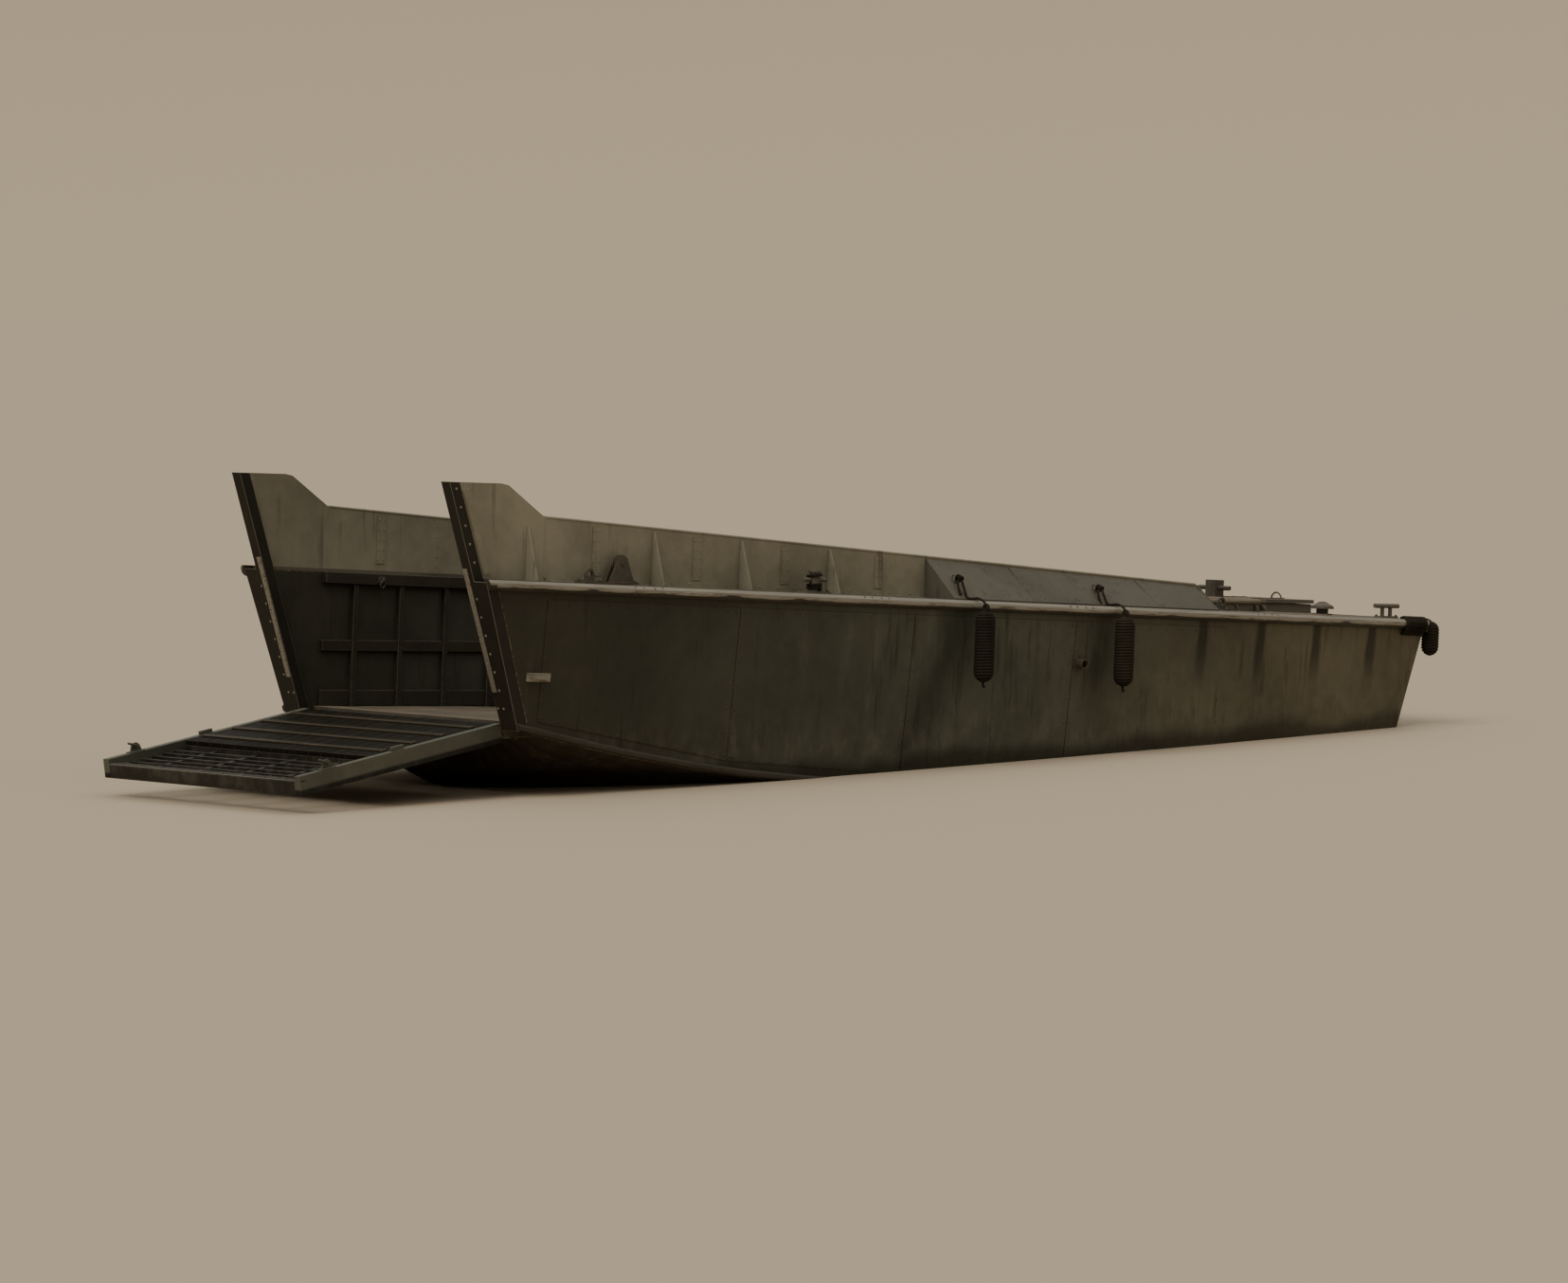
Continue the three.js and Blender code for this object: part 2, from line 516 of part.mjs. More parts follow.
// Ramp winch in the starboard passage
const WINCH = { x: -880, y: -900, z: 640 };
const winchPlates = [-130, 130].map((side) =>
  sidePlate([[-741, 480], [-741, 800], [-850, 800], [-990, 690], [-990, 590], [-850, 480]].toReversed(), WINCH.y + side - 7, WINCH.y + side + 7),
);
const drum = rod([WINCH.x, WINCH.y - 130, WINCH.z], [WINCH.x, WINCH.y + 130, WINCH.z], 62, 20);
const flanges = [-105, 105].map((side) => rod([WINCH.x, WINCH.y + side - 8, WINCH.z], [WINCH.x, WINCH.y + side + 8, WINCH.z], 105, 24));
const crank = [
  rod([WINCH.x, WINCH.y + 120, WINCH.z], [WINCH.x, WINCH.y + 180, WINCH.z], 16),
  rod([WINCH.x, WINCH.y + 175, WINCH.z], [WINCH.x - 190, WINCH.y + 175, WINCH.z + 90], 13),
  rod([WINCH.x - 188, WINCH.y + 165, WINCH.z + 89], [WINCH.x - 188, WINCH.y + 285, WINCH.z + 89], 15),
];
add("ramp_winch", joined([...winchPlates, drum, ...flanges, ...crank]), "steel");

// Ramp: hinge fixed to the headlog, and the ramp built along +X from its hinge line
const RAMP = { x: 4590, z: -70, down: THREE.MathUtils.degToRad(11), length: 2030, half: 1100, thick: 140 };
const PIN_R = 20;
const LUGS = [-1060, -530, 0, 530, 1060]; // y of each hull lug
const KNUCKLES = [-795, -265, 265, 795]; // y of each ramp knuckle
const lugs = LUGS.flatMap((y) => [
  rod([RAMP.x, y - 30, RAMP.z], [RAMP.x, y + 30, RAMP.z], 40),
  box(HEADLOG_FRONT + GAP, RAMP.x, y - 30, y + 30, RAMP.z - 40, RAMP.z + 40),
]);
const hinge = joined([
  box(HEADLOG_FRONT + GAP, HEADLOG_FRONT + 12, -1100, 1100, -130, -4),
  rod([RAMP.x, -1098, RAMP.z], [RAMP.x, 1098, RAMP.z], PIN_R, 20),
  ...lugs,
]);
add("ramp_hinge", hinge, "steel");

const ramp = new THREE.Group();
ramp.position.set(RAMP.x, 0, RAMP.z);
ramp.rotation.y = RAMP.down;
craft.add(ramp);
const HALF_THICK = RAMP.thick / 2;
const WINDOW = { x0: 1290, x1: 1930 };
const BEAM = 62;
const FOOT = 60; // from the hinge line to the ramp's lower edge
const beams = [1, -1].map((side) => {
  const [y0, y1] = [side * (RAMP.half - BEAM), side * RAMP.half].toSorted((a, b) => a - b);
  return box(FOOT, RAMP.length, y0, y1, -HALF_THICK, HALF_THICK);
});
const crossBeams = [[FOOT, 115], [640, 690], [WINDOW.x0 - 55, WINDOW.x0], [WINDOW.x1, RAMP.length]].map(([x0, x1]) =>
  box(x0, x1, -RAMP.half + 10, RAMP.half - 10, -HALF_THICK, HALF_THICK - 42),
);
const outerSkin = box(FOOT, WINDOW.x0 - 5, -RAMP.half + 5, RAMP.half - 5, -HALF_THICK, -HALF_THICK + 8);
const knuckles = KNUCKLES.map((y) =>
  rod([0, y - 75, 0], [0, y + 75, 0], 45, 20)
    .add(box(0, FOOT + 30, y - 75, y + 75, -40, 26))
    .subtract(rod([0, y - 90, 0], [0, y + 90, 0], PIN_R + 1.5, 20)),
);
add("ramp_frame", joined([...beams, ...crossBeams, outerSkin, ...knuckles]), "armour", ramp);

const PLANK_Z = HALF_THICK - 42 + GAP;
const treads = [0, 1, 2, 3].map((k) => {
  const x = 230 + 290 * k;
  return box(x, x + 50, -RAMP.half + BEAM + 30, RAMP.half - BEAM - 30, 60, HALF_THICK + 14);
});
const rampDeck = box(FOOT + 1, WINDOW.x0 - 2, -RAMP.half + BEAM + 2, RAMP.half - BEAM - 2, PLANK_Z, HALF_THICK - 2);
add("ramp_deck", joined([rampDeck, ...treads]), "timber", ramp);

const GRILLE_BARS = 5;
const bars = Array.from({ length: GRILLE_BARS }, (unused, k) => {
  const x = WINDOW.x0 + ((k + 1) * (WINDOW.x1 - WINDOW.x0)) / (GRILLE_BARS + 1);
  return box(x - 9, x + 9, -RAMP.half + BEAM + 1, RAMP.half - BEAM - 1, -40, 15);
});
const grilleRibs = [-690, -230, 230, 690].map((y) => box(WINDOW.x0 + 1, WINDOW.x1 - 1, y - 22, y + 22, -30, 5));
add("ramp_grille", joined([...bars, ...grilleRibs]), "steel", ramp);

// Sheaves on the side decks, which lead the ramp's hoisting cables aft
const SHEAVE = { x: 3690, y: 1290, radius: 70, rise: 150 };
const sheaveFoot = sheerZ(SHEAVE.x + 140) + GAP + 1;
const sheaveZ = sheaveFoot + SHEAVE.rise;
const cheeks = [-24, 24].map((side) =>
  sidePlate(
    [
      [SHEAVE.x - 130, sheaveFoot], [SHEAVE.x + 140, sheaveFoot], [SHEAVE.x + 45, sheaveZ + 45], [SHEAVE.x - 45, sheaveZ + 45],
    ],
    SHEAVE.y + side - 5, SHEAVE.y + side + 5,
  ),
);
const wheelOfSheave = [[-14, -6, SHEAVE.radius], [-6, 6, SHEAVE.radius - 16], [6, 14, SHEAVE.radius]].map(([y0, y1, radius]) =>
  rod([SHEAVE.x, SHEAVE.y + y0, sheaveZ], [SHEAVE.x, SHEAVE.y + y1, sheaveZ], radius, 20),
);
const sheave = joined([
  box(SHEAVE.x - 150, SHEAVE.x + 140, SHEAVE.y - 50, SHEAVE.y + 50, sheaveFoot, sheaveFoot + 14),
  rod([SHEAVE.x, SHEAVE.y - 36, sheaveZ], [SHEAVE.x, SHEAVE.y + 36, sheaveZ], 14, 16),
  ...cheeks, ...wheelOfSheave,
]);
for (const [side, put] of SIDES) add(`ramp_sheave_${side}`, put(sheave), "steel");

// Below the water: skeg and shoe, shaft, screw and rudder
const SHOE_TOP = -1120;
const skegBlank = sidePlate(
  [[-3780, SHOE_TOP - 45], [-3780, -505], [1900, -505], [1900, -865], [900, -1040], [-1400, SHOE_TOP - 45]].toReversed(),
  -75, 75,
);
const shoe = box(-4960, -3000, -62, 62, SHOE_TOP - 45, SHOE_TOP).subtract(
  rod([STOCK_X, 0, SHOE_TOP - 100], [STOCK_X, 0, SHOE_TOP + 50], 26),
);
const boss = rod(shaftLine(190), shaftLine(420), 88, 24);
const lowered = bottomBlank.translate([0, 0, -GAP]);
add("skeg", cut(joined([skegBlank, shoe, boss]), [shaftBore, lowered]), "bottom");
add("propeller_shaft", rod(shaftLine(80), shaftLine(885), SHAFT_R, 24), "bronze");

// One blade: columns are radius, chord and pitch angle in degrees
const BLADE = [[40, 110, 62], [100, 165, 50], [170, 195, 38], [230, 165, 31], [262, 95, 28]];
function bladeSolid() {
  const rings = BLADE.map(([radius, chord, pitch]) => {
    const angle = THREE.MathUtils.degToRad(pitch);
    const thick = 15 - 0.035 * radius;
    const outline = [[-0.5, 0], [-0.25, -0.4], [0.2, -0.5], [0.5, 0], [0.25, 0.4], [-0.2, 0.5]];
    return outline.map(([a, b]) => {
      const [u, v] = [a * chord, b * thick];
      return [radius, u * Math.cos(angle) - v * Math.sin(angle), u * Math.sin(angle) + v * Math.cos(angle)];
    });
  });
  return loft(rings);
}
const blades = [0, 120, 240].map((turn) => bladeSolid().rotate([0, -90, 0]).rotate([turn, 0, 0]));
const screwHub = joined([rod([-75, 0, 0], [75, 0, 0], 58, 24), rod([-125, 0, 0], [-74, 0, 0], 34, 24)]);
const screw = joined([screwHub, ...blades]);
const screwMesh = add("propeller", screw, "bronze");
screwMesh.position.set(SCREW.x, 0, SCREW.z);
screwMesh.rotation.y = -SCREW.lean;

const bladeOutline = [[-4420, 0], [-4445, 22], [-4560, 30], [-4700, 26], [-4900, 8], [-4900, -8], [-4700, -26], [-4560, -30], [-4445, -22]];
const rudderBlade = flatPlate(bladeOutline, -1100, -530);
const stock = rod([STOCK_X, 0, -1155], [STOCK_X, 0, -386], 22);
add("rudder", rudderBlade.add(stock), "bottom");

// Towing bitt between the cockpits and the stern hatch
const BITT_X = -4420;
const bittFoot = sheerZ(BITT_X + 110) + GAP;
const bitt = joined([
  box(BITT_X - 55, BITT_X + 55, -55, 55, bittFoot + 1, bittFoot + 240),
  box(BITT_X - 110, BITT_X + 110, -110, 110, bittFoot + 1, bittFoot + 16),
  rod([BITT_X, -170, bittFoot + 175], [BITT_X, 170, bittFoot + 175], 19),
]);
add("towing_bitt", bitt, "steel");

// A fitting on the flared topside is built looking out along +Y and leaned by the flare
function onSide(name, x, z, shape, finish) {
  const mesh = add(name, shape, finish);
  mesh.position.set(x, sideHalf(x, z) + 1.5, z);
  const rise = sheerZ(x) - chineZ(x);
  mesh.rotation.x = -Math.atan((sheerHalf(x) - chineHalf(x)) / rise);
  const width = (sideHalf(x + 200, z) - sideHalf(x - 200, z)) / 400;
  mesh.rotation.z = Math.atan(width);
  mesh.rotation.order = "ZXY";
}
const outlet = joined([rod([0, 0, 0], [0, 12, 0], 70, 28), rod([0, 0, 0], [0, 75, 0], 40, 24)]).subtract(
  rod([0, 8, 0], [0, 90, 0], 32, 24),
);
onSide("cooling_outlet", -1070, 480, outlet, "steel");
const padEye = joined([
  box(-110, 110, 0, 14, -32, 32),
  box(-75, 75, 10, 52, -9, 9),
]).subtract(rod([0, 36, -30], [0, 36, 30], 13, 16));
onSide("bow_pad_port", 4530, 340, padEye, "steel");

// Rope fenders that hang from the port rail, each lanyard made fast to a ring bolt
const FENDER = { radius: 82, length: 560 };
for (const [place, x] of FENDERS) {
  const [rail, top] = [sheerHalf(x), sheerZ(x)];
  const y = rail + GUARD.proud + FENDER.radius + 8;
  const body = new THREE.CapsuleGeometry(FENDER.radius, FENDER.length - 2 * FENDER.radius, 4, 14);
  const [ringY, ringZ] = onSplash(x, RING_BOLT_SHARE);
  const lanyard = rope([
    [x, y, top - 150], [x, y, top - 60], [x, y - 30, top - 4], [x, rail + GUARD.proud - 4, top + 14],
    [x, splashFoot(x) + 14, top + 14], [x, splashFoot(x) - 6, top + 28], [x, ringY + 36, ringZ + 22],
  ], 10);
  const hung = solid(body.rotateX(Math.PI / 2).translate(x, y, top - 120 - FENDER.length / 2));
  add(`fender_${place}`, hung.add(lanyard), "rope");
}

export default craft;
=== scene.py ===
# %% [markdown]
# # An open landing craft, from its frame to its finish
# The craft's pieces, sizes and joints come ready-made, as a fixed frame of plain solids. This lesson
# gives each of them softened edges and a weathered finish, and models what the frame leaves plain:
# plates, planks, bolts, rope, rust and sand. Every length is in metres.

# %% Load the frame
import json
import math
import random

import bmesh
import bpy
from mathutils import Matrix, Vector
from mathutils.bvhtree import BVHTree


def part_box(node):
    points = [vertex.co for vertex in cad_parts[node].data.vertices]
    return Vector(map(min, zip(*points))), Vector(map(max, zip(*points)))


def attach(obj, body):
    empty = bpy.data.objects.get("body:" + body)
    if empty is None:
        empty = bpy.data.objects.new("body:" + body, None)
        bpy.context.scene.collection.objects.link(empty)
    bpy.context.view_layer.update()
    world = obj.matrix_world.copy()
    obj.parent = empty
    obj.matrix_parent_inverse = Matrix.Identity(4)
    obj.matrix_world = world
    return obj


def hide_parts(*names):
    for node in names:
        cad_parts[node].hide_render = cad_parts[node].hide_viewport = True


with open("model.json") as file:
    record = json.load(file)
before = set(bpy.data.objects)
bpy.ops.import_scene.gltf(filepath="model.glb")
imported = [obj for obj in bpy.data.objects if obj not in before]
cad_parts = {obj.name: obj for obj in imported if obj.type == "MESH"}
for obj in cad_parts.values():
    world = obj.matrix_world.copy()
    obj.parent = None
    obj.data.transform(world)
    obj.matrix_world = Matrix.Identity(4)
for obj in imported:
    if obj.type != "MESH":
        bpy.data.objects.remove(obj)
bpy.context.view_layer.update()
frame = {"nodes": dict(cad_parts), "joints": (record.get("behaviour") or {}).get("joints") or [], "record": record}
nodes = frame["nodes"]

# %% [markdown]
# ## The camera
# The photographer stood on the beach, 55 m off, ahead of the craft's port beam and a little above its
# rail. The camera comes first, because everything after it is judged through it. It stands where the
# photographer stood, with a longer lens, so that the craft fills the frame.

# %% Camera
CAMERA_AT = Vector((39.2, 38.65, 4.46))
LOOK_AT = Vector((0.62, 0.0, 0.92))
LENS = 160.0  # focal length in millimetres, on a sensor 36 mm wide

camera = bpy.data.objects.new("camera", bpy.data.cameras.new("camera"))
camera.data.lens = LENS
camera.data.clip_end = 500.0
camera.location = CAMERA_AT
camera.rotation_euler = (LOOK_AT - CAMERA_AT).to_track_quat("-Z", "Y").to_euler()
bpy.context.scene.collection.objects.link(camera)
bpy.context.scene.camera = camera
print("camera:", round((LOOK_AT - CAMERA_AT).length, 1), "m away")

# %% [markdown]
# ## The hull's own directions
# The craft lies three degrees bow up, so nothing on it is level. Modelling is easier in the hull's own
# frame, where x runs along the floor boards, y points to port and z stands square to the floor. The
# frame's joints and mounts say where those directions lie, and one matrix turns them into the world.

# %% Hull and ramp axes
joints = {joint["name"]: joint for joint in frame["joints"]}
mounts = {mount["name"]: mount for mount in frame["record"]["mounts"]}
AHEAD, PORT, UP = Vector((1.0, 0.0, 0.0)), Vector((0.0, 1.0, 0.0)), Vector((0.0, 0.0, 1.0))


def axes(along, origin):
    """The matrix from a frame whose x runs along a direction, and whose y is to port, into the world."""
    up = along.cross(PORT)
    turned = Matrix((along, PORT, up)).transposed().to_4x4()
    return Matrix.Translation(origin) @ turned


FLOOR_MARK = 1.5  # the cargo floor's mount is this far ahead of amidships
floor_mark = mounts["cargo_floor"]
along_hull = Vector(joints["engine_cover_starboard_lift"]["axis"])
HULL = axes(along_hull, Vector(floor_mark["pos_m"]) - FLOOR_MARK * along_hull)
along_ramp = Vector(mounts["ramp_landing_edge"]["axis"])
RAMP = axes(along_ramp, Vector(joints["ramp_hinge_turn"]["pos_m"]))
TO_HULL = HULL.inverted()
print("trim:", round(math.degrees(math.asin(along_hull.z)), 2), "degrees bow up")

# %% [markdown]
# ## Measuring the frame
# New pieces have to sit on the real surfaces. So the script measures the frame: it cuts a piece's
# edges with a plane across the hull, and reads the rail, the deck edge or the coaming's top from the
# points of that section. Nothing is typed in twice.

# %% Sections
def shape_of(node):
    """A merged copy of a frame piece, in the hull's frame."""
    bm = bmesh.new()
    bm.from_mesh(nodes[node].data)
    bmesh.ops.remove_doubles(bm, verts=bm.verts, dist=1e-5)
    bmesh.ops.transform(bm, matrix=TO_HULL, verts=bm.verts)
    return bm


sections = {}


def section(node, x):
    """The points where a plane across the hull cuts a frame piece's edges."""
    if node not in sections:
        bm = shape_of(node)
        sections[node] = [[vert.co.copy() for vert in edge.verts] for edge in bm.edges]
        bm.free()
    crossed = [(a, b) for a, b in sections[node] if (a.x - x) * (b.x - x) < 0]
    return [a.lerp(b, (x - a.x) / (b.x - a.x)) for a, b in crossed]


def rail(x):
    """The middle of the port guard's outer face."""
    points = section("sheer_guard_port", x)
    outermost = max(point.y for point in points)
    face = [point for point in points if point.y > outermost - 0.012]
    low, high = min(face, key=lambda point: point.z), max(face, key=lambda point: point.z)
    return low.lerp(high, 0.5)


print("rail amidships:", rail(0.01))

# %% [markdown]
# ## From a bmesh to a finished piece
# Real edges are never knife sharp: a small bevel catches the light along every corner, and it is where
# paint wears off first. So each bevel also leaves a mark in the mesh, a number called edge, which the
# paint reads later. Weighted normals then keep the flat faces flat beside the rounded corners.

# %% Softened edges and finished objects
def soften(bm, width=0.004, segments=2, limit=32.0):
    """Bevels every edge sharper than a limit in degrees, and marks the new faces."""
    mark = bm.loops.layers.float.get("edge") or bm.loops.layers.float.new("edge")
    sharp = [e for e in bm.edges if e.is_manifold and abs(e.calc_face_angle_signed(0)) > math.radians(limit)]
    made = bmesh.ops.bevel(
        bm, geom=sharp, offset=width, offset_type="OFFSET", affect="EDGES", segments=segments,
        profile=0.5, material=-1, clamp_overlap=True, loop_slide=True,
    )
    for face in made["faces"]:
        for loop in face.loops:
            loop[mark] = 1.0
    bmesh.ops.dissolve_degenerate(bm, dist=1e-5, edges=bm.edges)


SMOOTH_LIMIT = math.radians(38.0)  # where two faces meet at more than this, the edge stays hard


def finish_piece(bm, name, finish, slot, body="hull", replaces=(), place=HULL):
    """Puts a bmesh in place as an object that rides on a body."""
    bmesh.ops.recalc_face_normals(bm, faces=bm.faces)
    bmesh.ops.transform(bm, matrix=place, verts=bm.verts)
    if place.determinant() < 0:
        bmesh.ops.reverse_faces(bm, faces=bm.faces)
    for face in bm.faces:
        face.smooth = True
    for edge in bm.edges:
        edge.smooth = edge.is_manifold and edge.calc_face_angle(0.0) < SMOOTH_LIMIT
    mesh = bpy.data.meshes.new(name)
    bm.to_mesh(mesh)
    bm.free()
    mesh.materials.append(finish)
    piece = bpy.data.objects.new(name, mesh)
    bpy.context.scene.collection.objects.link(piece)
    normals = piece.modifiers.new("flat faces", "WEIGHTED_NORMAL")
    normals.keep_sharp = True
    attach(piece, body)
    if replaces:
        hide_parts(*replaces)


SIDES = {"port": HULL, "starboard": HULL @ Matrix.Diagonal((1.0, -1.0, 1.0, 1.0))}  # where a port piece goes
HANDED = (-1, 1)  # starboard and port, for what is built as one piece

# %% [markdown]
# ## Building blocks for finishes
# A finish is a small network of nodes. Short helpers keep the recipes readable: they place a node and
# wire its inputs, do sums with sockets, or make a reusable group with named inputs and outputs. A group
# holds one effect, such as rust or wet planks, and each material mixes the effects that it shows.

# %% Node helpers
def feed(node, inputs):
    """Wires a node's inputs to other sockets, or sets them to values. A colour is given as three numbers."""
    for label, source in inputs.items():
        socket = node.inputs[label]
        if isinstance(source, bpy.types.NodeSocket):
            node.id_data.links.new(source, socket)
        else:
            socket.default_value = (*source, 1.0) if socket.type == "RGBA" else source


def place(tree, kind, inputs=None, **settings):
    """Adds a node, sets it up and feeds its inputs."""
    node = tree.nodes.new(kind)
    for key, value in settings.items():
        setattr(node, key, value)
    feed(node, inputs or {})
    return node


def network(*sources):
    """The tree that the first socket among some sources belongs to."""
    return next(source.id_data for source in sources if isinstance(source, bpy.types.NodeSocket))


def maths(operation, a, b=0.0, clamp=False):
    return place(network(a, b), "ShaderNodeMath", {0: a, 1: b}, operation=operation, use_clamp=clamp).outputs[0]


def plus(a, b):
    return maths("ADD", a, b)


def minus(a, b, clamp=False):
    return maths("SUBTRACT", a, b, clamp)


def times(a, b, clamp=False):
    return maths("MULTIPLY", a, b, clamp)


def over(a, b, clamp=False):
    return maths("DIVIDE", a, b, clamp)


def rest_of(share):
    """What a share leaves of one."""
    return minus(1.0, share)


def step(value, low, high):
    """0 below low, 1 above high, and a smooth rise between them."""
    inputs = {"Value": value, "From Min": low, "From Max": high}
    return place(value.id_data, "ShaderNodeMapRange", inputs, interpolation_type="SMOOTHSTEP").outputs[0]


def mixed(share, a, b, blend="MIX"):
    """Colour a turned towards colour b by a share."""
    inputs = {0: share, 6: a, 7: b}
    return place(network(share, a, b), "ShaderNodeMix", inputs, data_type="RGBA", blend_type=blend).outputs[2]


def noise(vector, scale, detail, roughness=0.55, distortion=0.0):
    inputs = {"Vector": vector, "Scale": scale, "Detail": detail, "Roughness": roughness, "Distortion": distortion}
    return place(vector.id_data, "ShaderNodeTexNoise", inputs).outputs[0]


def stretched(vector, scale, operation="MULTIPLY"):
    """The same coordinates with each axis scaled, or shifted, on its own."""
    return place(vector.id_data, "ShaderNodeVectorMath", {0: vector, 1: scale}, operation=operation).outputs[0]


def joined(*numbers):
    """A vector of three numbers."""
    return place(network(*numbers), "ShaderNodeCombineXYZ", dict(enumerate(numbers))).outputs[0]


def parts_of(vector):
    """The three numbers of a vector."""
    return place(vector.id_data, "ShaderNodeSeparateXYZ", {0: vector}).outputs


def effect(name, outputs, **inputs):
    """A shader group and its two ends. An input given as None is a vector, and any other a number."""
    group = bpy.data.node_groups.new(name, "ShaderNodeTree")
    for label, value in inputs.items():
        kind = "NodeSocketVector" if value is None else "NodeSocketFloat"
        socket = group.interface.new_socket(label, in_out="INPUT", socket_type=kind)
        if value is not None:
            socket.default_value = value
    for label in outputs:
        kind = "NodeSocketColor" if label == "Colour" else "NodeSocketFloat"
        group.interface.new_socket(label, in_out="OUTPUT", socket_type=kind)
    return group, group.nodes.new("NodeGroupInput").outputs, group.nodes.new("NodeGroupOutput")


def use(group, **inputs):
    """Places a group, feeds it, and gives its outputs."""
    return place(network(*inputs.values()), "ShaderNodeGroup", inputs, node_tree=group).outputs


# %% [markdown]
# ## Effects that several finishes share
# Brushed paint is never one tone: it fades in patches, and its coats show as fine mottling. Chips
# start at the marked edges and at a few knocks elsewhere. Runs are streaks that water draws down a
# wall. The waterline leaves three bands: weed below, wet wood or steel just above, salt where it dried.

# %% Patches, chips, runs
PATCHES, given, out = effect("uneven paint", ("Tone", "Grain"), Vector=None, Size=1.0)
vector, inverse = given["Vector"], over(1.0, given["Size"])
broad = noise(vector, inverse, 6.0, 0.6, 0.4)
mottle = noise(vector, times(inverse, 9.0), 5.0, 0.65)
tone = plus(times(broad, 0.7), times(mottle, 0.3))
feed(out, {"Tone": step(tone, 0.32, 0.68), "Grain": noise(vector, 260.0, 3.0)})

CHIPS, given, out = effect("chipped edges", ("Mask",), Vector=None, Edge=0.0, Size=0.02, Amount=0.5)
flakes = noise(given["Vector"], over(1.0, given["Size"]), 5.0, 0.6)
places = noise(given["Vector"], 1.7, 3.0, 0.5)
worn = times(given["Edge"], given["Amount"])
pull = plus(times(worn, 0.5), times(places, 0.16))
feed(out, {"Mask": step(plus(flakes, pull), 0.84, 0.88)})

RUNS, given, out = effect("runs down a wall", ("Mask",), Vector=None, Spacing=0.12, Length=1.2, Cover=0.4)
across = over(1.0, given["Spacing"])
scale = joined(across, across, over(1.0, given["Length"]))
streaks = noise(stretched(given["Vector"], scale), 1.0, 4.0, 0.6, 0.15)
where = noise(given["Vector"], 0.9, 2.0, 0.5)
limit = minus(0.78, times(given["Cover"], 0.4))
seen = plus(streaks, times(minus(where, 0.5), 0.35))
feed(out, {"Mask": over(minus(seen, limit), 0.16, clamp=True)})

# %% Waterline
WATERLINE, given, out = effect("waterline", ("Wet", "Salt", "Weed"), Vector=None)
height = parts_of(given["Vector"])[2]
lap = noise(stretched(given["Vector"], (0.9, 0.9, 0.2)), 1.0, 5.0, 0.6)
lapped = minus(height, times(minus(lap, 0.5), 0.42))
crust = noise(stretched(given["Vector"], (9.0, 9.0, 4.0)), 1.0, 6.0, 0.7)
band = times(step(lapped, 0.1, 0.2), rest_of(step(lapped, 0.2, 0.62)))
ragged = plus(height, times(crust, 0.1))
feed(out, {
    "Wet": rest_of(step(lapped, 0.06, 0.17)), "Salt": times(band, step(crust, 0.4, 0.75)),
    "Weed": rest_of(step(ragged, -0.06, 0.04)),
})

# %% [markdown]
# Wood grain is noise pulled out along the board, finer across it than along it. Rust is two browns
# under a coarse and a fine noise. Seams are the dark lines between planks that are too thin to model,
# cut every so many centimetres across the hull.

# %% Grain, rust and seams
GRAIN, given, out = effect("wood grain", ("Tone", "Height"), Vector=None, Board=0.0)
moved = stretched(given["Vector"], joined(times(given["Board"], 37.0), 0.0, 0.0), "ADD")
fibres = noise(stretched(moved, (2.2, 70.0, 70.0)), 1.0, 6.0, 0.65, 0.3)
figure = noise(stretched(moved, (0.9, 14.0, 14.0)), 1.0, 3.0, 0.5, 1.4)
both = plus(times(fibres, 0.55), times(figure, 0.45))
feed(out, {"Tone": step(both, 0.3, 0.7), "Height": fibres})

RUST, given, out = effect("rust", ("Colour", "Height"), Vector=None)
blooms = noise(given["Vector"], 26.0, 5.0, 0.7)
browns = mixed(step(blooms, 0.35, 0.65), (0.045, 0.022, 0.011), (0.16, 0.075, 0.032))
feed(out, {"Colour": browns, "Height": noise(given["Vector"], 210.0, 3.0, 0.6)})

SEAMS, given, out = effect("seams", ("Mask", "Board"), Place=0.0, Width=0.15, Gap=0.004)
count = over(given["Place"], given["Width"])
off_middle = maths("ABSOLUTE", minus(maths("FRACT", count), 0.5))
edge_gap = minus(0.5, over(given["Gap"], given["Width"]))
board = place(SEAMS, "ShaderNodeTexWhiteNoise", {"W": maths("FLOOR", count)}, noise_dimensions="1D").outputs[0]
feed(out, {"Mask": maths("GREATER_THAN", off_middle, edge_gap), "Board": board})

# %% [markdown]
# The topsides are darker ahead and paler aft: painted shade and painted light, since the side turns more towards
# the light aft. Water that leaves through the drains behind the well draws short dark streaks under the guard.
# Below each hanging fender the side is darkened in a band that slants aft, a painted shadow of the fender. These
# marks have places of their own, so they are written in the hull's own coordinates.

# %% Stains, painted shade and painted light on the topsides
DRAINS_FROM, DRAIN_PITCH = -2.54, 0.74  # x of the first drain, and the distance to the next
GUARD_FOOT, SHEER_RISE = 0.872, 0.0189  # height of the guard's foot amidships, and its rise per metre
# painted shadows of the fenders, which darken the side below them
FENDER_SHADOWS = (  # under each fender: its x at the guard, how far it drifts aft per metre, its width and reach
    (0.34, 0.38, 0.42, 2.0), (-1.32, 0.1, 0.26, 0.95),
)
STAINS_AND_SHADE, given, out = effect("stains and painted shade on the side", ("Dark", "Fore", "Aft"), Vector=None)
x, y, z = parts_of(given["Vector"])
depth = minus(plus(times(x, SHEER_RISE), GUARD_FOOT), z)
ragged = noise(stretched(given["Vector"], (14.0, 14.0, 3.0)), 1.0, 4.0, 0.6)
from_drain = maths("PINGPONG", minus(x, DRAINS_FROM), DRAIN_PITCH / 2)
streaks = rest_of(step(plus(from_drain, times(ragged, 0.09)), 0.075, 0.135))
streaks = times(streaks, rest_of(step(depth, 0.15, 0.62)))
port_only = maths("GREATER_THAN", y, 0.0)
dark = times(streaks, maths("LESS_THAN", x, DRAINS_FROM + 0.2))
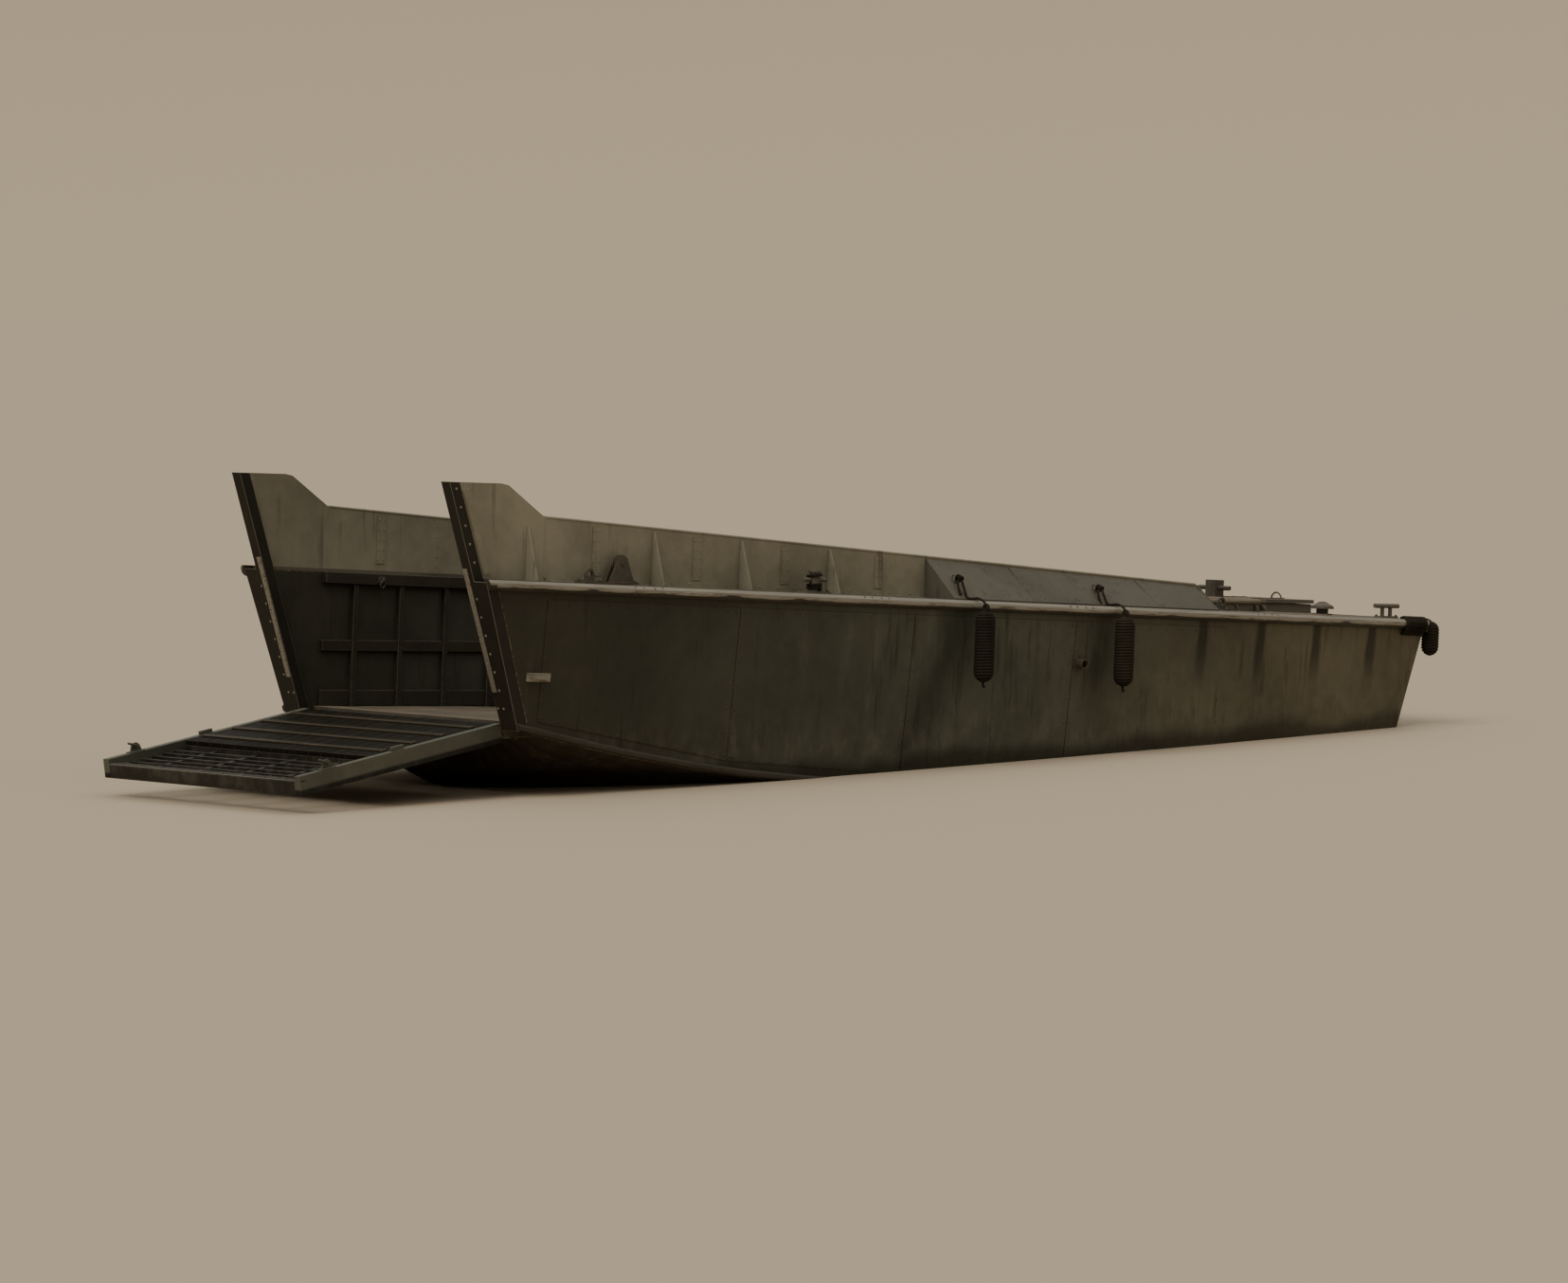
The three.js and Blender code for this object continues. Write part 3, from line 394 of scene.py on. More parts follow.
# each fender's painted shadow on the port side: a soft band below it, slanting aft and fading with depth
for shadow_at, slant, width, reach in FENDER_SHADOWS:
    off = maths("ABSOLUTE", minus(x, plus(times(depth, slant), shadow_at)))
    wet = rest_of(step(plus(off, times(ragged, 0.22)), 0.1, width))
    wet = times(wet, minus(0.72, step(depth, reach * 0.4, reach)), clamp=True)
    dark = maths("MAXIMUM", dark, times(wet, port_only))
# the forward topsides are tinted darker and the aft ones lighter: painted shade and painted light
feed(out, {"Dark": dark, "Fore": step(x, 0.5, 4.6), "Aft": rest_of(step(x, -4.8, 0.4))})
print("effects:", [group.name for group in bpy.data.node_groups])

# %% [markdown]
# ## Weathered paint
# One recipe serves every painted surface, because they were all brushed from the same few tins: a tone
# that fades in patches, streaks under the rails, wet and salty bands near the water, and chips that
# show primer, bare wood or rust. Each material gives its own colours and amounts. A number that is the
# same all over a surface goes straight into the shader's own socket.

# %% The recipe for paint
def start(name, home=HULL):
    """A new material, its shader, world coordinates, and coordinates in a home frame."""
    material = bpy.data.materials.new(name)
    material.use_nodes = True
    world = place(material.node_tree, "ShaderNodeTexCoord").outputs["Object"]
    move, turn, _ = home.inverted().decompose()
    mapped = {"Vector": world, "Location": move, "Rotation": turn.to_euler()}
    along = place(world.id_data, "ShaderNodeMapping", mapped).outputs[0]
    return material, material.node_tree.nodes["Principled BSDF"], world, along


def attribute(name, beside):
    """A number that the mesh carries, in the same tree as another socket."""
    return place(beside.id_data, "ShaderNodeAttribute", attribute_name=name).outputs["Fac"]


def surface(shader, colour, rough, height, distance, **others):
    """Feeds a shader its colour, its roughness, its bumps in metres and what else it is given."""
    bump = place(shader.id_data, "ShaderNodeBump", {"Height": height, "Distance": distance})
    others = {label.replace("_", " "): source for label, source in others.items()}
    feed(shader, {"Base Color": colour, "Roughness": rough, "Normal": bump.outputs[0]} | others)


def dimmed(colour, share, factor):
    """A colour scaled by a factor where share is 1."""
    return mixed(share, colour, (factor, factor, factor * 0.97), "MULTIPLY")


STREAK = (0.016, 0.013, 0.009)
CHALK = (0.26, 0.24, 0.19)
WEED = (0.022, 0.026, 0.012)
BARE_WOOD = (0.17, 0.125, 0.075)
PRIMER = (0.12, 0.06, 0.035)
DRY_BEAM = (0.058, 0.06, 0.043), (0.105, 0.107, 0.08)  # the upper part of the ramp's side beams
# painted shade on the forward topsides and painted light on the aft ones, as tints that multiply the paint
FORWARD_SHADE_TINT, AFT_LIGHT_TINT = (0.53, 0.47, 0.42), (1.66, 1.38, 1.19)


def painted(
    name, dark, light, bare=PRIMER, rusts=False, size=1.3, chips=0.5, chip_size=0.02, runs=0.35, chalk=0.25,
    rough=0.62, seams=None, grain=0.0, afloat=False, stains_and_shade=False, home=HULL, beams=False,
):
    """Paint on wood or steel, weathered. seams is (axis, width, gap) of planks across the hull."""
    material, shader, world, along = start(name, home)
    paint = use(PATCHES, Vector=along, Size=size)
    colour = mixed(paint["Tone"], dark, light)
    height = times(paint["Grain"], 0.25)
    streak = use(RUNS, Vector=world, Spacing=0.07, Length=1.1, Cover=runs)["Mask"]
    colour = mixed(times(streak, 0.55), colour, STREAK)
    pale = use(RUNS, Vector=stretched(world, (1.0, -1.0, 1.0)), Spacing=0.16, Length=0.8, Cover=chalk)["Mask"]
    colour = mixed(times(pale, 0.1), colour, CHALK)
    if grain:
        wood = use(GRAIN, Vector=along)
        height = plus(height, times(wood["Height"], grain))
        colour = mixed(0.25, colour, mixed(wood["Tone"], dark, light))
    if seams:
        axis, width, gap = seams
        line = use(SEAMS, Place=parts_of(along)[axis], Width=width, Gap=gap)
        colour = dimmed(colour, times(line["Board"], 0.3), 0.55)
        colour = dimmed(colour, line["Mask"], 0.25)
        height = minus(height, line["Mask"])
    # drain stains, painted shadows under the fenders, and painted shade ahead and painted light aft
    if stains_and_shade:
        stain = use(STAINS_AND_SHADE, Vector=along)
        colour = mixed(stain["Fore"], colour, FORWARD_SHADE_TINT, "MULTIPLY")
        colour = mixed(stain["Aft"], colour, AFT_LIGHT_TINT, "MULTIPLY")
        colour = dimmed(colour, stain["Dark"], 0.3)
    chip = use(CHIPS, Vector=world, Edge=attribute("edge", world), Size=chip_size, Amount=chips)["Mask"]
    colour = mixed(chip, colour, use(RUST, Vector=world)["Colour"] if rusts else bare)
    height = minus(height, times(chip, 0.35))
    dull = plus(plus(times(paint["Tone"], 0.14), rough - 0.07), times(chip, 0.15))
    if afloat:
        sea = use(WATERLINE, Vector=world)
        colour = mixed(times(sea["Salt"], 0.16), colour, CHALK)
        colour = dimmed(colour, sea["Wet"], 0.42)
        colour = mixed(times(sea["Weed"], 0.7), colour, WEED)
        dull = minus(dull, times(sea["Wet"], 0.36), clamp=True)
    # outer sides of the ramp's beams: the lower band darkened, partly wet and partly painted shade, the upper band
    # pale dry paint
    if beams:
        _, across, up = parts_of(along)
        side = step(maths("ABSOLUTE", across), 1.034, 1.04)
        dry = times(times(side, step(up, -0.045, -0.02)), minus(0.9, chip), clamp=True)
        colour = mixed(dry, dimmed(colour, side, 0.4), mixed(paint["Tone"], *DRY_BEAM))
    surface(shader, colour, dull, height, 0.0016, Specular_IOR_Level=0.25)
    return material


# %% Paints
HULL_TONES = (0.041, 0.044, 0.033), (0.074, 0.079, 0.059)
# the topsides: wet bands, runs and chalk, drain stains, and painted shade and light
TOPSIDES = {"afloat": True, "runs": 0.5, "chalk": 0.4, "stains_and_shade": True}
ARMOUR = {"rusts": True, "chips": 0.75, "chip_size": 0.03, "runs": 0.45}
WORN_STEEL = (0.2, 0.18, 0.145)
hull_paint = painted("hull paint", *HULL_TONES, bare=BARE_WOOD, **TOPSIDES)
hull_plate_paint = painted("paint on side plates", *HULL_TONES, rusts=True, **TOPSIDES)
post_paint = painted(
    "paint on the posts", (0.011, 0.0095, 0.006), (0.021, 0.0185, 0.012), bare=WORN_STEEL, chips=1.1,
)
ramp_paint = painted(
    "ramp paint", (0.0085, 0.0075, 0.0052), (0.019, 0.017, 0.012), bare=WORN_STEEL, chips=1.0,
    afloat=True, home=RAMP, beams=True,
)
inside_paint = painted(
    "inside paint", (0.0185, 0.0162, 0.0105), (0.035, 0.0308, 0.0205), bare=(0.08, 0.068, 0.048), size=0.8,
    chips=0.7, grain=0.25,
)
bottom_paint = painted(
    "bottom paint", (0.019, 0.014, 0.01), (0.04, 0.029, 0.02), bare=BARE_WOOD, afloat=True,
    seams=(1, 0.14, 0.005), grain=0.4, chips=0.8,
)
deck_paint = painted(
    "deck paint", (0.070, 0.063, 0.047), (0.125, 0.112, 0.085), bare=BARE_WOOD, size=0.6, chips=0.75,
    chalk=0.1, grain=0.35, rough=0.7,
)
splash_paint = painted("paint on splash plates", (0.052, 0.048, 0.036), (0.088, 0.08, 0.061), **ARMOUR)
armour_paint = painted("armour paint", (0.144, 0.134, 0.097), (0.238, 0.221, 0.162), **ARMOUR)
fittings_paint = painted(
    "paint on fittings", (0.048, 0.043, 0.033), (0.085, 0.077, 0.06), rusts=True, size=0.3,
    chips=0.9, chip_size=0.014, runs=0.2, rough=0.5,
)
engine_enamel = painted(
    "engine enamel", (0.06, 0.068, 0.058), (0.1, 0.11, 0.095), rusts=True, size=0.4, runs=0.2, rough=0.4,
)
underwater_steel = painted(
    "paint under water", (0.026, 0.018, 0.013), (0.05, 0.034, 0.024), rusts=True, afloat=True, chips=0.8,
)
print("paints:", len(bpy.data.materials))

# %% [markdown]
# ## Worn wood, bronze and rope
# The guards take every knock: the upper half of their crown is rubbed down to grey wood, wear that is also a
# painted highlight on top, and below the crown's middle they keep their dark paint as painted shade. Floor boards
# are bare and scoured, each a little different, with sand in the corners and wet patches. Bronze dulls to brown
# and greens near the water.

# %% Wood and metal
def worn_boards(name, home=HULL, turned=False, soaked=0.0):
    """Bare boards along their home frame, or turned to lie across it. Soaked boards are dark and shine."""
    material, shader, world, along = start(name, home)
    if turned:
        quarter_turn = {"Vector": along, "Rotation": (0.0, 0.0, math.pi / 2)}
        along = place(along.id_data, "ShaderNodeMapping", quarter_turn).outputs[0]
    board = attribute("board", world)
    wood = use(GRAIN, Vector=along, Board=board)
    colour = mixed(wood["Tone"], (0.055, 0.044, 0.03), (0.15, 0.124, 0.088))
    colour = dimmed(colour, board, 0.62)
    stain = use(PATCHES, Vector=world, Size=0.5)
    paint = times(step(stain["Tone"], 0.62, 0.8), 0.8)
    colour = mixed(paint, colour, (0.07, 0.063, 0.048))
    sand_spread = use(PATCHES, Vector=along, Size=0.9)
    grains = noise(world, 420.0, 2.0, 0.7)
    sand = times(step(sand_spread["Tone"], 0.3, 1.0), step(grains, 0.38, 0.6))
    colour = mixed(times(sand, 0.6 - 0.4 * soaked), colour, (0.27, 0.225, 0.155))
    puddle = step(noise(world, 1.1, 4.0, 0.55), 0.5 - 0.4 * soaked, 0.66 - 0.4 * soaked)
    colour = dimmed(colour, puddle, 0.55 - 0.43 * soaked)
    dull = minus(0.78, times(puddle, 0.5 - 0.3 * soaked))
    chip = use(CHIPS, Vector=world, Edge=attribute("edge", world), Size=0.02, Amount=0.8)["Mask"]
    colour = mixed(times(chip, 0.6 - 0.4 * soaked), colour, (0.2, 0.165, 0.12))
    height = plus(wood["Height"], times(sand, 0.6))
    surface(shader, colour, dull, height, 0.0022, Specular_IOR_Level=0.3 - 0.24 * soaked)
    return material


def rubbed_guard(name):
    """Painted timber whose crown is rubbed down to grey wood on its upper half, wear and painted highlight together.
    """
    material, shader, world, along = start(name)
    wood = use(GRAIN, Vector=along)
    paint = use(PATCHES, Vector=along, Size=0.7)
    colour = mixed(paint["Tone"], (0.028, 0.025, 0.0185), (0.05, 0.045, 0.034))
    timber = mixed(wood["Tone"], (0.172, 0.16, 0.132), (0.247, 0.23, 0.192))
    scrape = noise(stretched(along, (3.5, 40.0, 40.0)), 1.0, 5.0, 0.7)
    # the mesh's number is 1 only on the upper half of the crown: rubbed wood there is also a painted highlight, and
    # the paint below it stands as painted shade
    worn = times(attribute("rub_and_highlight", world), 0.75)
    bare = step(plus(times(scrape, 0.35), worn), 0.5, 0.72)
    colour = mixed(bare, colour, timber)
    streak = use(RUNS, Vector=world, Spacing=0.05, Length=0.6, Cover=0.3)["Mask"]
    colour = mixed(times(streak, 0.45), colour, STREAK)
    height = plus(times(wood["Height"], 0.8), times(bare, -0.4))
    surface(shader, colour, plus(0.62, times(bare, 0.12)), height, 0.0024, Specular_IOR_Level=0.25)
    return material


def sea_bronze(name):
    """Brown bronze with green patches, brighter on its edges."""
    material, shader, world, along = start(name)
    tone = use(PATCHES, Vector=along, Size=0.12)
    colour = mixed(tone["Tone"], (0.09, 0.062, 0.035), (0.2, 0.145, 0.085))
    green = step(noise(world, 22.0, 5.0, 0.7), 0.5, 0.66)
    colour = mixed(times(green, 0.6), colour, (0.05, 0.085, 0.06))
    colour = mixed(times(attribute("edge", world), 0.6), colour, (0.3, 0.225, 0.13))
    metal = rest_of(times(green, 0.75))
    surface(shader, colour, plus(0.34, times(green, 0.4)), tone["Grain"], 0.0008, Metallic=metal)
    return material


def rubbed_steel(name):
    """Steel that rubs bright on its crown and rusts beside it."""
    material, shader, world, along = start(name)
    rust = use(RUST, Vector=world)
    bright = step(noise(stretched(along, (5.0, 60.0, 60.0)), 1.0, 5.0, 0.65), 0.32, 0.52)
    dull_coat = mixed(step(rust["Height"], 0.45, 0.62), (0.075, 0.062, 0.045), rust["Colour"])
    colour = mixed(bright, dull_coat, (0.25, 0.232, 0.195))
    surface(shader, colour, minus(0.75, times(bright, 0.32)), rust["Height"], 0.0008, Metallic=times(bright, 0.5))
    return material


bright_strip = rubbed_steel("rubbed steel")
bare_boards = worn_boards("worn boards")
guard_wood = rubbed_guard("rubbed guard")
bronze = sea_bronze("sea bronze")
print("finishes:", [material.name for material in bpy.data.materials])

# %% [markdown]
# ## Small helpers for shapes
# Most fittings on a working boat are bars, blocks, plates and bolts. Each helper starts from one
# bmesh.ops.create_ shape and puts it in place with a matrix, so that a piece of many parts reads like
# a parts list. A push moves an outline along step by step, by extruding its end face again and again.

# %% Blocks, bars and bolt heads
def block(bm, corner, opposite, turn=None):
    """A box between two opposite corners. turn is a matrix that moves it afterwards."""
    low, high = Vector(map(min, corner, opposite)), Vector(map(max, corner, opposite))
    shape = Matrix.Translation((low + high) / 2) @ Matrix.Diagonal((*(high - low), 1.0))
    return bmesh.ops.create_cube(bm, size=1.0, matrix=(turn or Matrix()) @ shape)["verts"]


def facing(direction, at):
    """The matrix that turns z towards a direction and moves to a point."""
    return Matrix.Translation(at) @ Vector(direction).to_track_quat("Z", "Y").to_matrix().to_4x4()


def cone(bm, put, radius, tip, depth, sides):
    """A straight or tapered bar along z, with its middle at the origin, put in place by a matrix."""
    bmesh.ops.create_cone(
        bm, cap_ends=True, segments=sides, radius1=radius, radius2=tip, depth=depth, matrix=put,
    )


def bar(bm, start_at, end_at, radius, sides, tip=None):
    """A round bar between two points, tapered where it has a tip radius."""
    start_at, end_at = Vector(start_at), Vector(end_at)
    along = end_at - start_at
    cone(bm, facing(along, (start_at + end_at) / 2), radius, radius if tip is None else tip, along.length, sides)


DOME_BANDS = ((0.35, 1.0, 0.72, 0.7), (0.85, 0.72, 0.24, 0.3))  # middle, radius below and above, depth


def dome(bm, at, normal, radius, rise=0.5, sides=8):
    """A round bolt or rivet head that stands on a surface."""
    turn = facing(normal, at) @ Matrix.Diagonal((1.0, 1.0, rise, 1.0))
    for middle, below, above, depth in DOME_BANDS:
        put = turn @ Matrix.Translation((0.0, 0.0, radius * middle))
        cone(bm, put, radius * below, radius * above, radius * depth, sides)


def hex_nut(bm, at, normal, radius, height=0.01):
    cone(bm, facing(normal, Vector(at) + Vector(normal).normalized() * height / 2), radius, radius, height, 6)


# %% Outlines, and pushing them along
def polar(radius, turn):
    """The two coordinates of a point at a radius and an angle."""
    return radius * math.cos(turn), radius * math.sin(turn)


def circle(radius, count=10, first=0.0):
    """Points evenly spaced on a circle, from a first angle on."""
    return [polar(radius, first + 2 * math.pi * k / count) for k in range(count)]


def three_strands(radius):
    """The outline of a laid rope: three bulges, nine points."""
    return [polar(share * radius, 2 * math.pi * k / 9) for k, share in enumerate((1.0, 0.94, 0.76) * 3)]


def steps(low, high, count):
    """Evenly spaced values from low to high."""
    return [low + (high - low) * k / (count - 1) for k in range(count)]


def fill(low, high, pitch):
    """Evenly spaced values between two ends, about a pitch apart."""
    return steps(low, high, max(2, round(abs(high - low) / pitch) + 1))


def push(bm, corners, moves):
    """Makes a face from its corners, and pushes it on by one matrix after another."""
    face = bm.faces.new([bm.verts.new(corner) for corner in corners])
    for k, move in enumerate(moves):
        grown = bmesh.ops.extrude_face_region(bm, geom=[face])["geom"]
        if k:
            bmesh.ops.delete(bm, geom=[face], context="FACES_ONLY")
        bmesh.ops.transform(bm, matrix=move, verts=[item for item in grown if isinstance(item, bmesh.types.BMVert)])
        face = next(item for item in grown if isinstance(item, bmesh.types.BMFace))


def sweep(bm, outline, path):
    """Pushes an outline of (y, z) pairs along a path that runs mostly along x."""
    path = [Vector(point) for point in path]
    corners = [path[0] + Vector((0.0, y, z)) for y, z in outline]
    push(bm, corners, [Matrix.Translation(there - here) for here, there in zip(path, path[1:])])


def push_along(bm, outline, path, twist=0.0):
    """Pushes an outline along a path in space, square to it, with a twist in radians for each metre."""
    ways = [(b - a).normalized() for a, b in zip(path, path[1:])]
    ways = [ways[0], *[(a + b).normalized() for a, b in zip(ways, ways[1:])], ways[-1]]
    put = facing(ways[0], path[0])
    moves = []
    for here, there, old, new in zip(path, path[1:], ways, ways[1:]):
        lay = Matrix.Rotation(twist * (there - here).length, 4, new)
        turn = old.rotation_difference(new).to_matrix().to_4x4()
        moves.append(Matrix.Translation(there) @ lay @ turn @ Matrix.Translation(-here))
    push(bm, [put @ Vector((a, b, 0.0)) for a, b in outline], moves)


def curved(points, pitch):
    """A smooth path through a list of points, with a point about every pitch."""
    points = [Vector(point) for point in points]
    points = [2 * points[0] - points[1], *points, 2 * points[-1] - points[-2]]
    path = []
    for a, b, c, d in zip(points, points[1:], points[2:], points[3:]):
        count = max(1, round((c - b).length / pitch))
        for t in (k / count for k in range(count)):
            path.append(0.5 * (2 * b + (c - a) * t + (2 * a - 5 * b + 4 * c - d) * t**2
                               + (3 * b - 3 * c + d - a) * t**3))
    return [*path, points[-2]]


def hoop(bm, at, normal, radius, wire, around=28, sides=8):
    """A closed ring of round wire: a circle spun once round."""
    put = facing(normal, at)
    start_at = put @ Matrix.Translation((radius, 0.0, 0.0)) @ Matrix.Rotation(math.pi / 2, 4, "X")
    made = bmesh.ops.create_circle(bm, segments=sides, radius=wire, matrix=start_at)["verts"]
    edges = list({edge for vert in made for edge in vert.link_edges})
    bmesh.ops.spin(
        bm, geom=made + sorted(edges, key=lambda edge: edge.index), cent=put.translation, axis=normal,
        angle=2 * math.pi, steps=around, use_merge=True,
    )

# %% [markdown]
# Fittings have to touch what they are bolted to, so a ray is cast at the frame's own surface, and gives
# the point that it meets and the normal there. Both sides of the craft are the same but for a mirror,
# so a piece is built for port and finished twice. Boards are laid side by side and cut in lengths, and
# each gets its own number called board.

# %% Points on a surface, pairs and boards
trees = {}


def struck(node, start_at, way):
    """The point where a ray meets a frame piece, in the hull's frame, and the normal there."""
    if node not in trees:
        bm = shape_of(node)
        trees[node] = BVHTree.FromBMesh(bm)
        bm.free()
    return trees[node].ray_cast(Vector(start_at), Vector(way))[:2]


def on_wall(node, x, z):
    """The spot on the outside of a port wall, at a place along it and a height."""
    return struck(node, (x, 4.0, z), -PORT)


def on_top(node, x, y):
    """The spot on top of a piece, at a place in plan."""
    return struck(node, (x, y, 4.0), -UP)


def on_stern(node, y, z):
    """The spot on the after side of a piece."""
    return struck(node, (-7.0, y, z), AHEAD)


def front_of_post(z):
    """The spot on the front face of the bow post, on its middle line."""
    return struck("bow_post_port", (7.0, 1.17, z), -AHEAD)


def stud(bm, spot, radius, rise=0.5, sides=8):
    """A bolt head on a spot, let a millimetre into the surface."""
    at, normal = spot
    dome(bm, at - normal * 0.001, normal, radius, rise, sides)


def one_side(side, build, finish, slot, body="hull"):
    """Finishes what a function builds to port, or its mirror image, under the function's name."""
    bm = bmesh.new()
    build(bm)
    finish_piece(bm, f"{build.__name__}_{side}", finish, slot, body, place=SIDES[side])


def both_sides(build, finish, slot):
    for side in SIDES:
        one_side(side, build, finish, slot)


BOARD_GAP, BOARD_DROP = 0.004, 0.0015  # between two boards, and the most that one lies lower


def lay_boards(bm, x_ends, y_ends, top, thick, width, draw, butts=()):
    """Boards along x, side by side across y. Every second row has its joints moved on by a step."""
    mark = bm.faces.layers.float.get("board") or bm.faces.layers.float.new("board")
    rows = steps(*y_ends, round((y_ends[1] - y_ends[0]) / width) + 1)
    for k, (y0, y1) in enumerate(zip(rows, rows[1:])):
        cuts = [x_ends[0], *[x + 0.4 * (k % 2) for x in butts], x_ends[1]]
        for x0, x1 in zip(cuts, cuts[1:]):
            low = (x0 + BOARD_GAP / 2, y0 + BOARD_GAP / 2, top - thick)
            high = (x1 - BOARD_GAP / 2, y1 - BOARD_GAP / 2, top - draw.uniform(0, BOARD_DROP))
            verts = block(bm, low, high)
            number = draw.random()
            for vert in verts:
                for face in vert.link_faces:
                    face[mark] = number

# %% [markdown]
# ## Every frame piece, with softened edges
# A frame piece is a fixed solid of loose triangles, so a merged copy of it takes its place: flat areas
# are joined back into whole faces, and every sharp edge gets a bevel as wide as the real one, a few
# millimetres on timber and about one on steel.

# %% Refined frame pieces
SLOT_OF = {row["node"]: row["material_slot"] for row in frame["record"]["subparts"]}
BODY_OF = {node: body for body, members in frame["record"]["behaviour"]["bodies"].items() for node in members}
FINISHES = {
    "hull_paint": (hull_paint, 0.005), "bottom_paint": (bottom_paint, 0.006), "deck_paint": (deck_paint, 0.004),
    "armour_paint": (armour_paint, 0.002), "guard_timber": (guard_wood, 0.006), "worn_timber": (bare_boards, 0.004),
    "fittings": (fittings_paint, 0.0015), "bronze": (bronze, 0.0015), "machinery": (engine_enamel, 0.003),
    "underwater_steel": (underwater_steel, 0.002), "rope": (bare_boards, 0.002),
}
OTHER_FINISHES = {
    "well_bulkhead": inside_paint, "cockpit_bulkhead": inside_paint, "engine_case": inside_paint,
    "bow_post_port": post_paint, "bow_post_starboard": post_paint, "ramp_frame": ramp_paint,
    "ramp_grille": ramp_paint, "splash_plate_port": splash_paint, "splash_plate_starboard": splash_paint,
    # the bow pad is rubbed steel, brightened so that it also stands for the light on its top: wear and a painted
    # highlight
    "bow_pad_port": bright_strip,
}
SPLIT_FIRST = {"bow_wing_port", "stern_hatch_lid"}  # their large hollow faces would fold under the bevel


def refined(node, prepare=None):
    """A copy of a frame piece with merged faces and softened edges, which stands for it."""
    slot = SLOT_OF[node]
    finish, width = FINISHES[slot]
    bm = shape_of(node)
    bmesh.ops.dissolve_limit(bm, angle_limit=math.radians(0.4), verts=bm.verts, edges=bm.edges)
    if node in SPLIT_FIRST:
        bmesh.ops.connect_verts_concave(bm, faces=bm.faces)
    soften(bm, width)
    bmesh.ops.connect_verts_concave(bm, faces=bm.faces)
    if prepare:
        prepare(bm)
    finish_piece(bm, f"{node}_body", OTHER_FINISHES.get(node, finish), slot, BODY_OF[node], (node,))


LATER = {
    "engine", "steering_wheel", "sheer_guard_port", "sheer_guard_starboard", "ramp_deck", "fender_forward",
    "fender_aft", "well_floor", "passage_floor",
}
for node in sorted(set(nodes) - LATER):
    refined(node)
print("refined:", len(nodes) - len(LATER), "pieces")

# %% [markdown]
# ## Armour on the topsides
# The wooden topsides carry thin steel plates beside the well, each edge held by a row of round-headed
# bolts. The quickest way to a plate that follows the flare is to take the hull's own outer faces, cut
# them down to the plate's outline with bisecting planes, and give the sheet its thickness.

# %% Plates cut from a surface
PLATE, PLATE_GAP = 0.006, 0.006  # thickness of the side plates, and the gap between two
PLATE_ENDS, PLATES = (-2.84, 4.50), 4
UNDER_GUARD, OVER_CHINE = 0.105, 0.105  # from the deck edge to a plate's top, and from the chine to its foot
BOLT_PITCH, BOLT_INSET = 0.19, 0.035


def crop(bm, point, normal):
    """Cuts away what lies beyond a plane."""
    everything = [*bm.verts, *bm.edges, *bm.faces]
    bmesh.ops.bisect_plane(bm, geom=everything, dist=1e-6, plane_co=point, plane_no=normal, clear_outer=True)


def skin(node, way):
    """The faces of a frame piece that look in one direction, as an open sheet."""
    bm = shape_of(node)
    away = [face for face in bm.faces if face.normal.dot(way) < 0.8]
    bmesh.ops.delete(bm, geom=away, context="FACES")
    return bm


def thicken(bm, thickness):
    """Gives an open sheet its thickness, outwards, and closes its rim."""
    bmesh.ops.dissolve_limit(bm, angle_limit=math.radians(0.2), verts=bm.verts, edges=bm.edges)
    bmesh.ops.solidify(bm, geom=list(bm.faces), thickness=-thickness)


def copy_into(bm, part):
    """Adds a finished part to a larger bmesh, and frees the part."""
    spare = bpy.data.meshes.new("spare")
    part.to_mesh(spare)
    bm.from_mesh(spare)
    part.free()
    bpy.data.meshes.remove(spare)


def wall_top(x):
    return max(point.z for point in section("hull_side_port", x))


def plate_top(x):
    return wall_top(x) - UNDER_GUARD


def plate_foot(x):
    return min(point.z for point in section("hull_side_port", x)) + OVER_CHINE


def side_plates(bm):
    """The plates of one side, and bolt rows along their seams, tops and feet."""
    seams = steps(*PLATE_ENDS, PLATES + 1)
    for seam, length in zip(seams, [there - here for here, there in zip(seams, seams[1:])]):
        x0 = seam + PLATE_GAP / 2
        x1 = x0 + length - PLATE_GAP
        plate = skin("hull_side_port", PORT)
        crop(plate, x0 * AHEAD, -AHEAD)
        crop(plate, x1 * AHEAD, AHEAD)
        for height, way in ((plate_top, 1), (plate_foot, -1)):
            z0, z1 = height(x0), height(x1)
            crop(plate, (x0, 0.0, z0), way * Vector((z0 - z1, 0.0, x1 - x0)))
        thicken(plate, PLATE)
        soften(plate, 0.002, 1)
        copy_into(bm, plate)
    for seam in seams:
        for x in (seam - BOLT_INSET, seam + BOLT_INSET):
            if PLATE_ENDS[0] < x < PLATE_ENDS[1]:
                for z in fill(plate_foot(x) + BOLT_INSET, plate_top(x) - BOLT_INSET, BOLT_PITCH):
                    set_bolt(bm, x, z)
    for x in fill(PLATE_ENDS[0] + 0.2, PLATE_ENDS[1] - 0.2, BOLT_PITCH):
        set_bolt(bm, x, plate_top(x) - BOLT_INSET)
        set_bolt(bm, x, plate_foot(x) + BOLT_INSET)


def set_bolt(bm, x, z):
    point, normal = on_wall("hull_side_port", x, z)
    dome(bm, point + normal * PLATE, normal, 0.0115)


both_sides(side_plates, hull_plate_paint, "hull_paint")
print("side plates:", PLATES, "a side, bolted every", BOLT_PITCH, "m")

# %% [markdown]
# ## Rub guards
# The guard is an oak rail, bolted on in lengths that meet in slanting joints. A half-oval steel strip
# on its crown takes the rubbing, so it shines through. The frame's guard is copied, softened, and the upper half
# of its crown is marked as rubbed, wear that is also a painted highlight, while the half below stays dark as
# painted shade. The strip is a half-oval outline swept along that crown.

# %% Guards and their strips
RUB_DEPTH = 0.05  # how deep behind the crown the paint is still rubbed


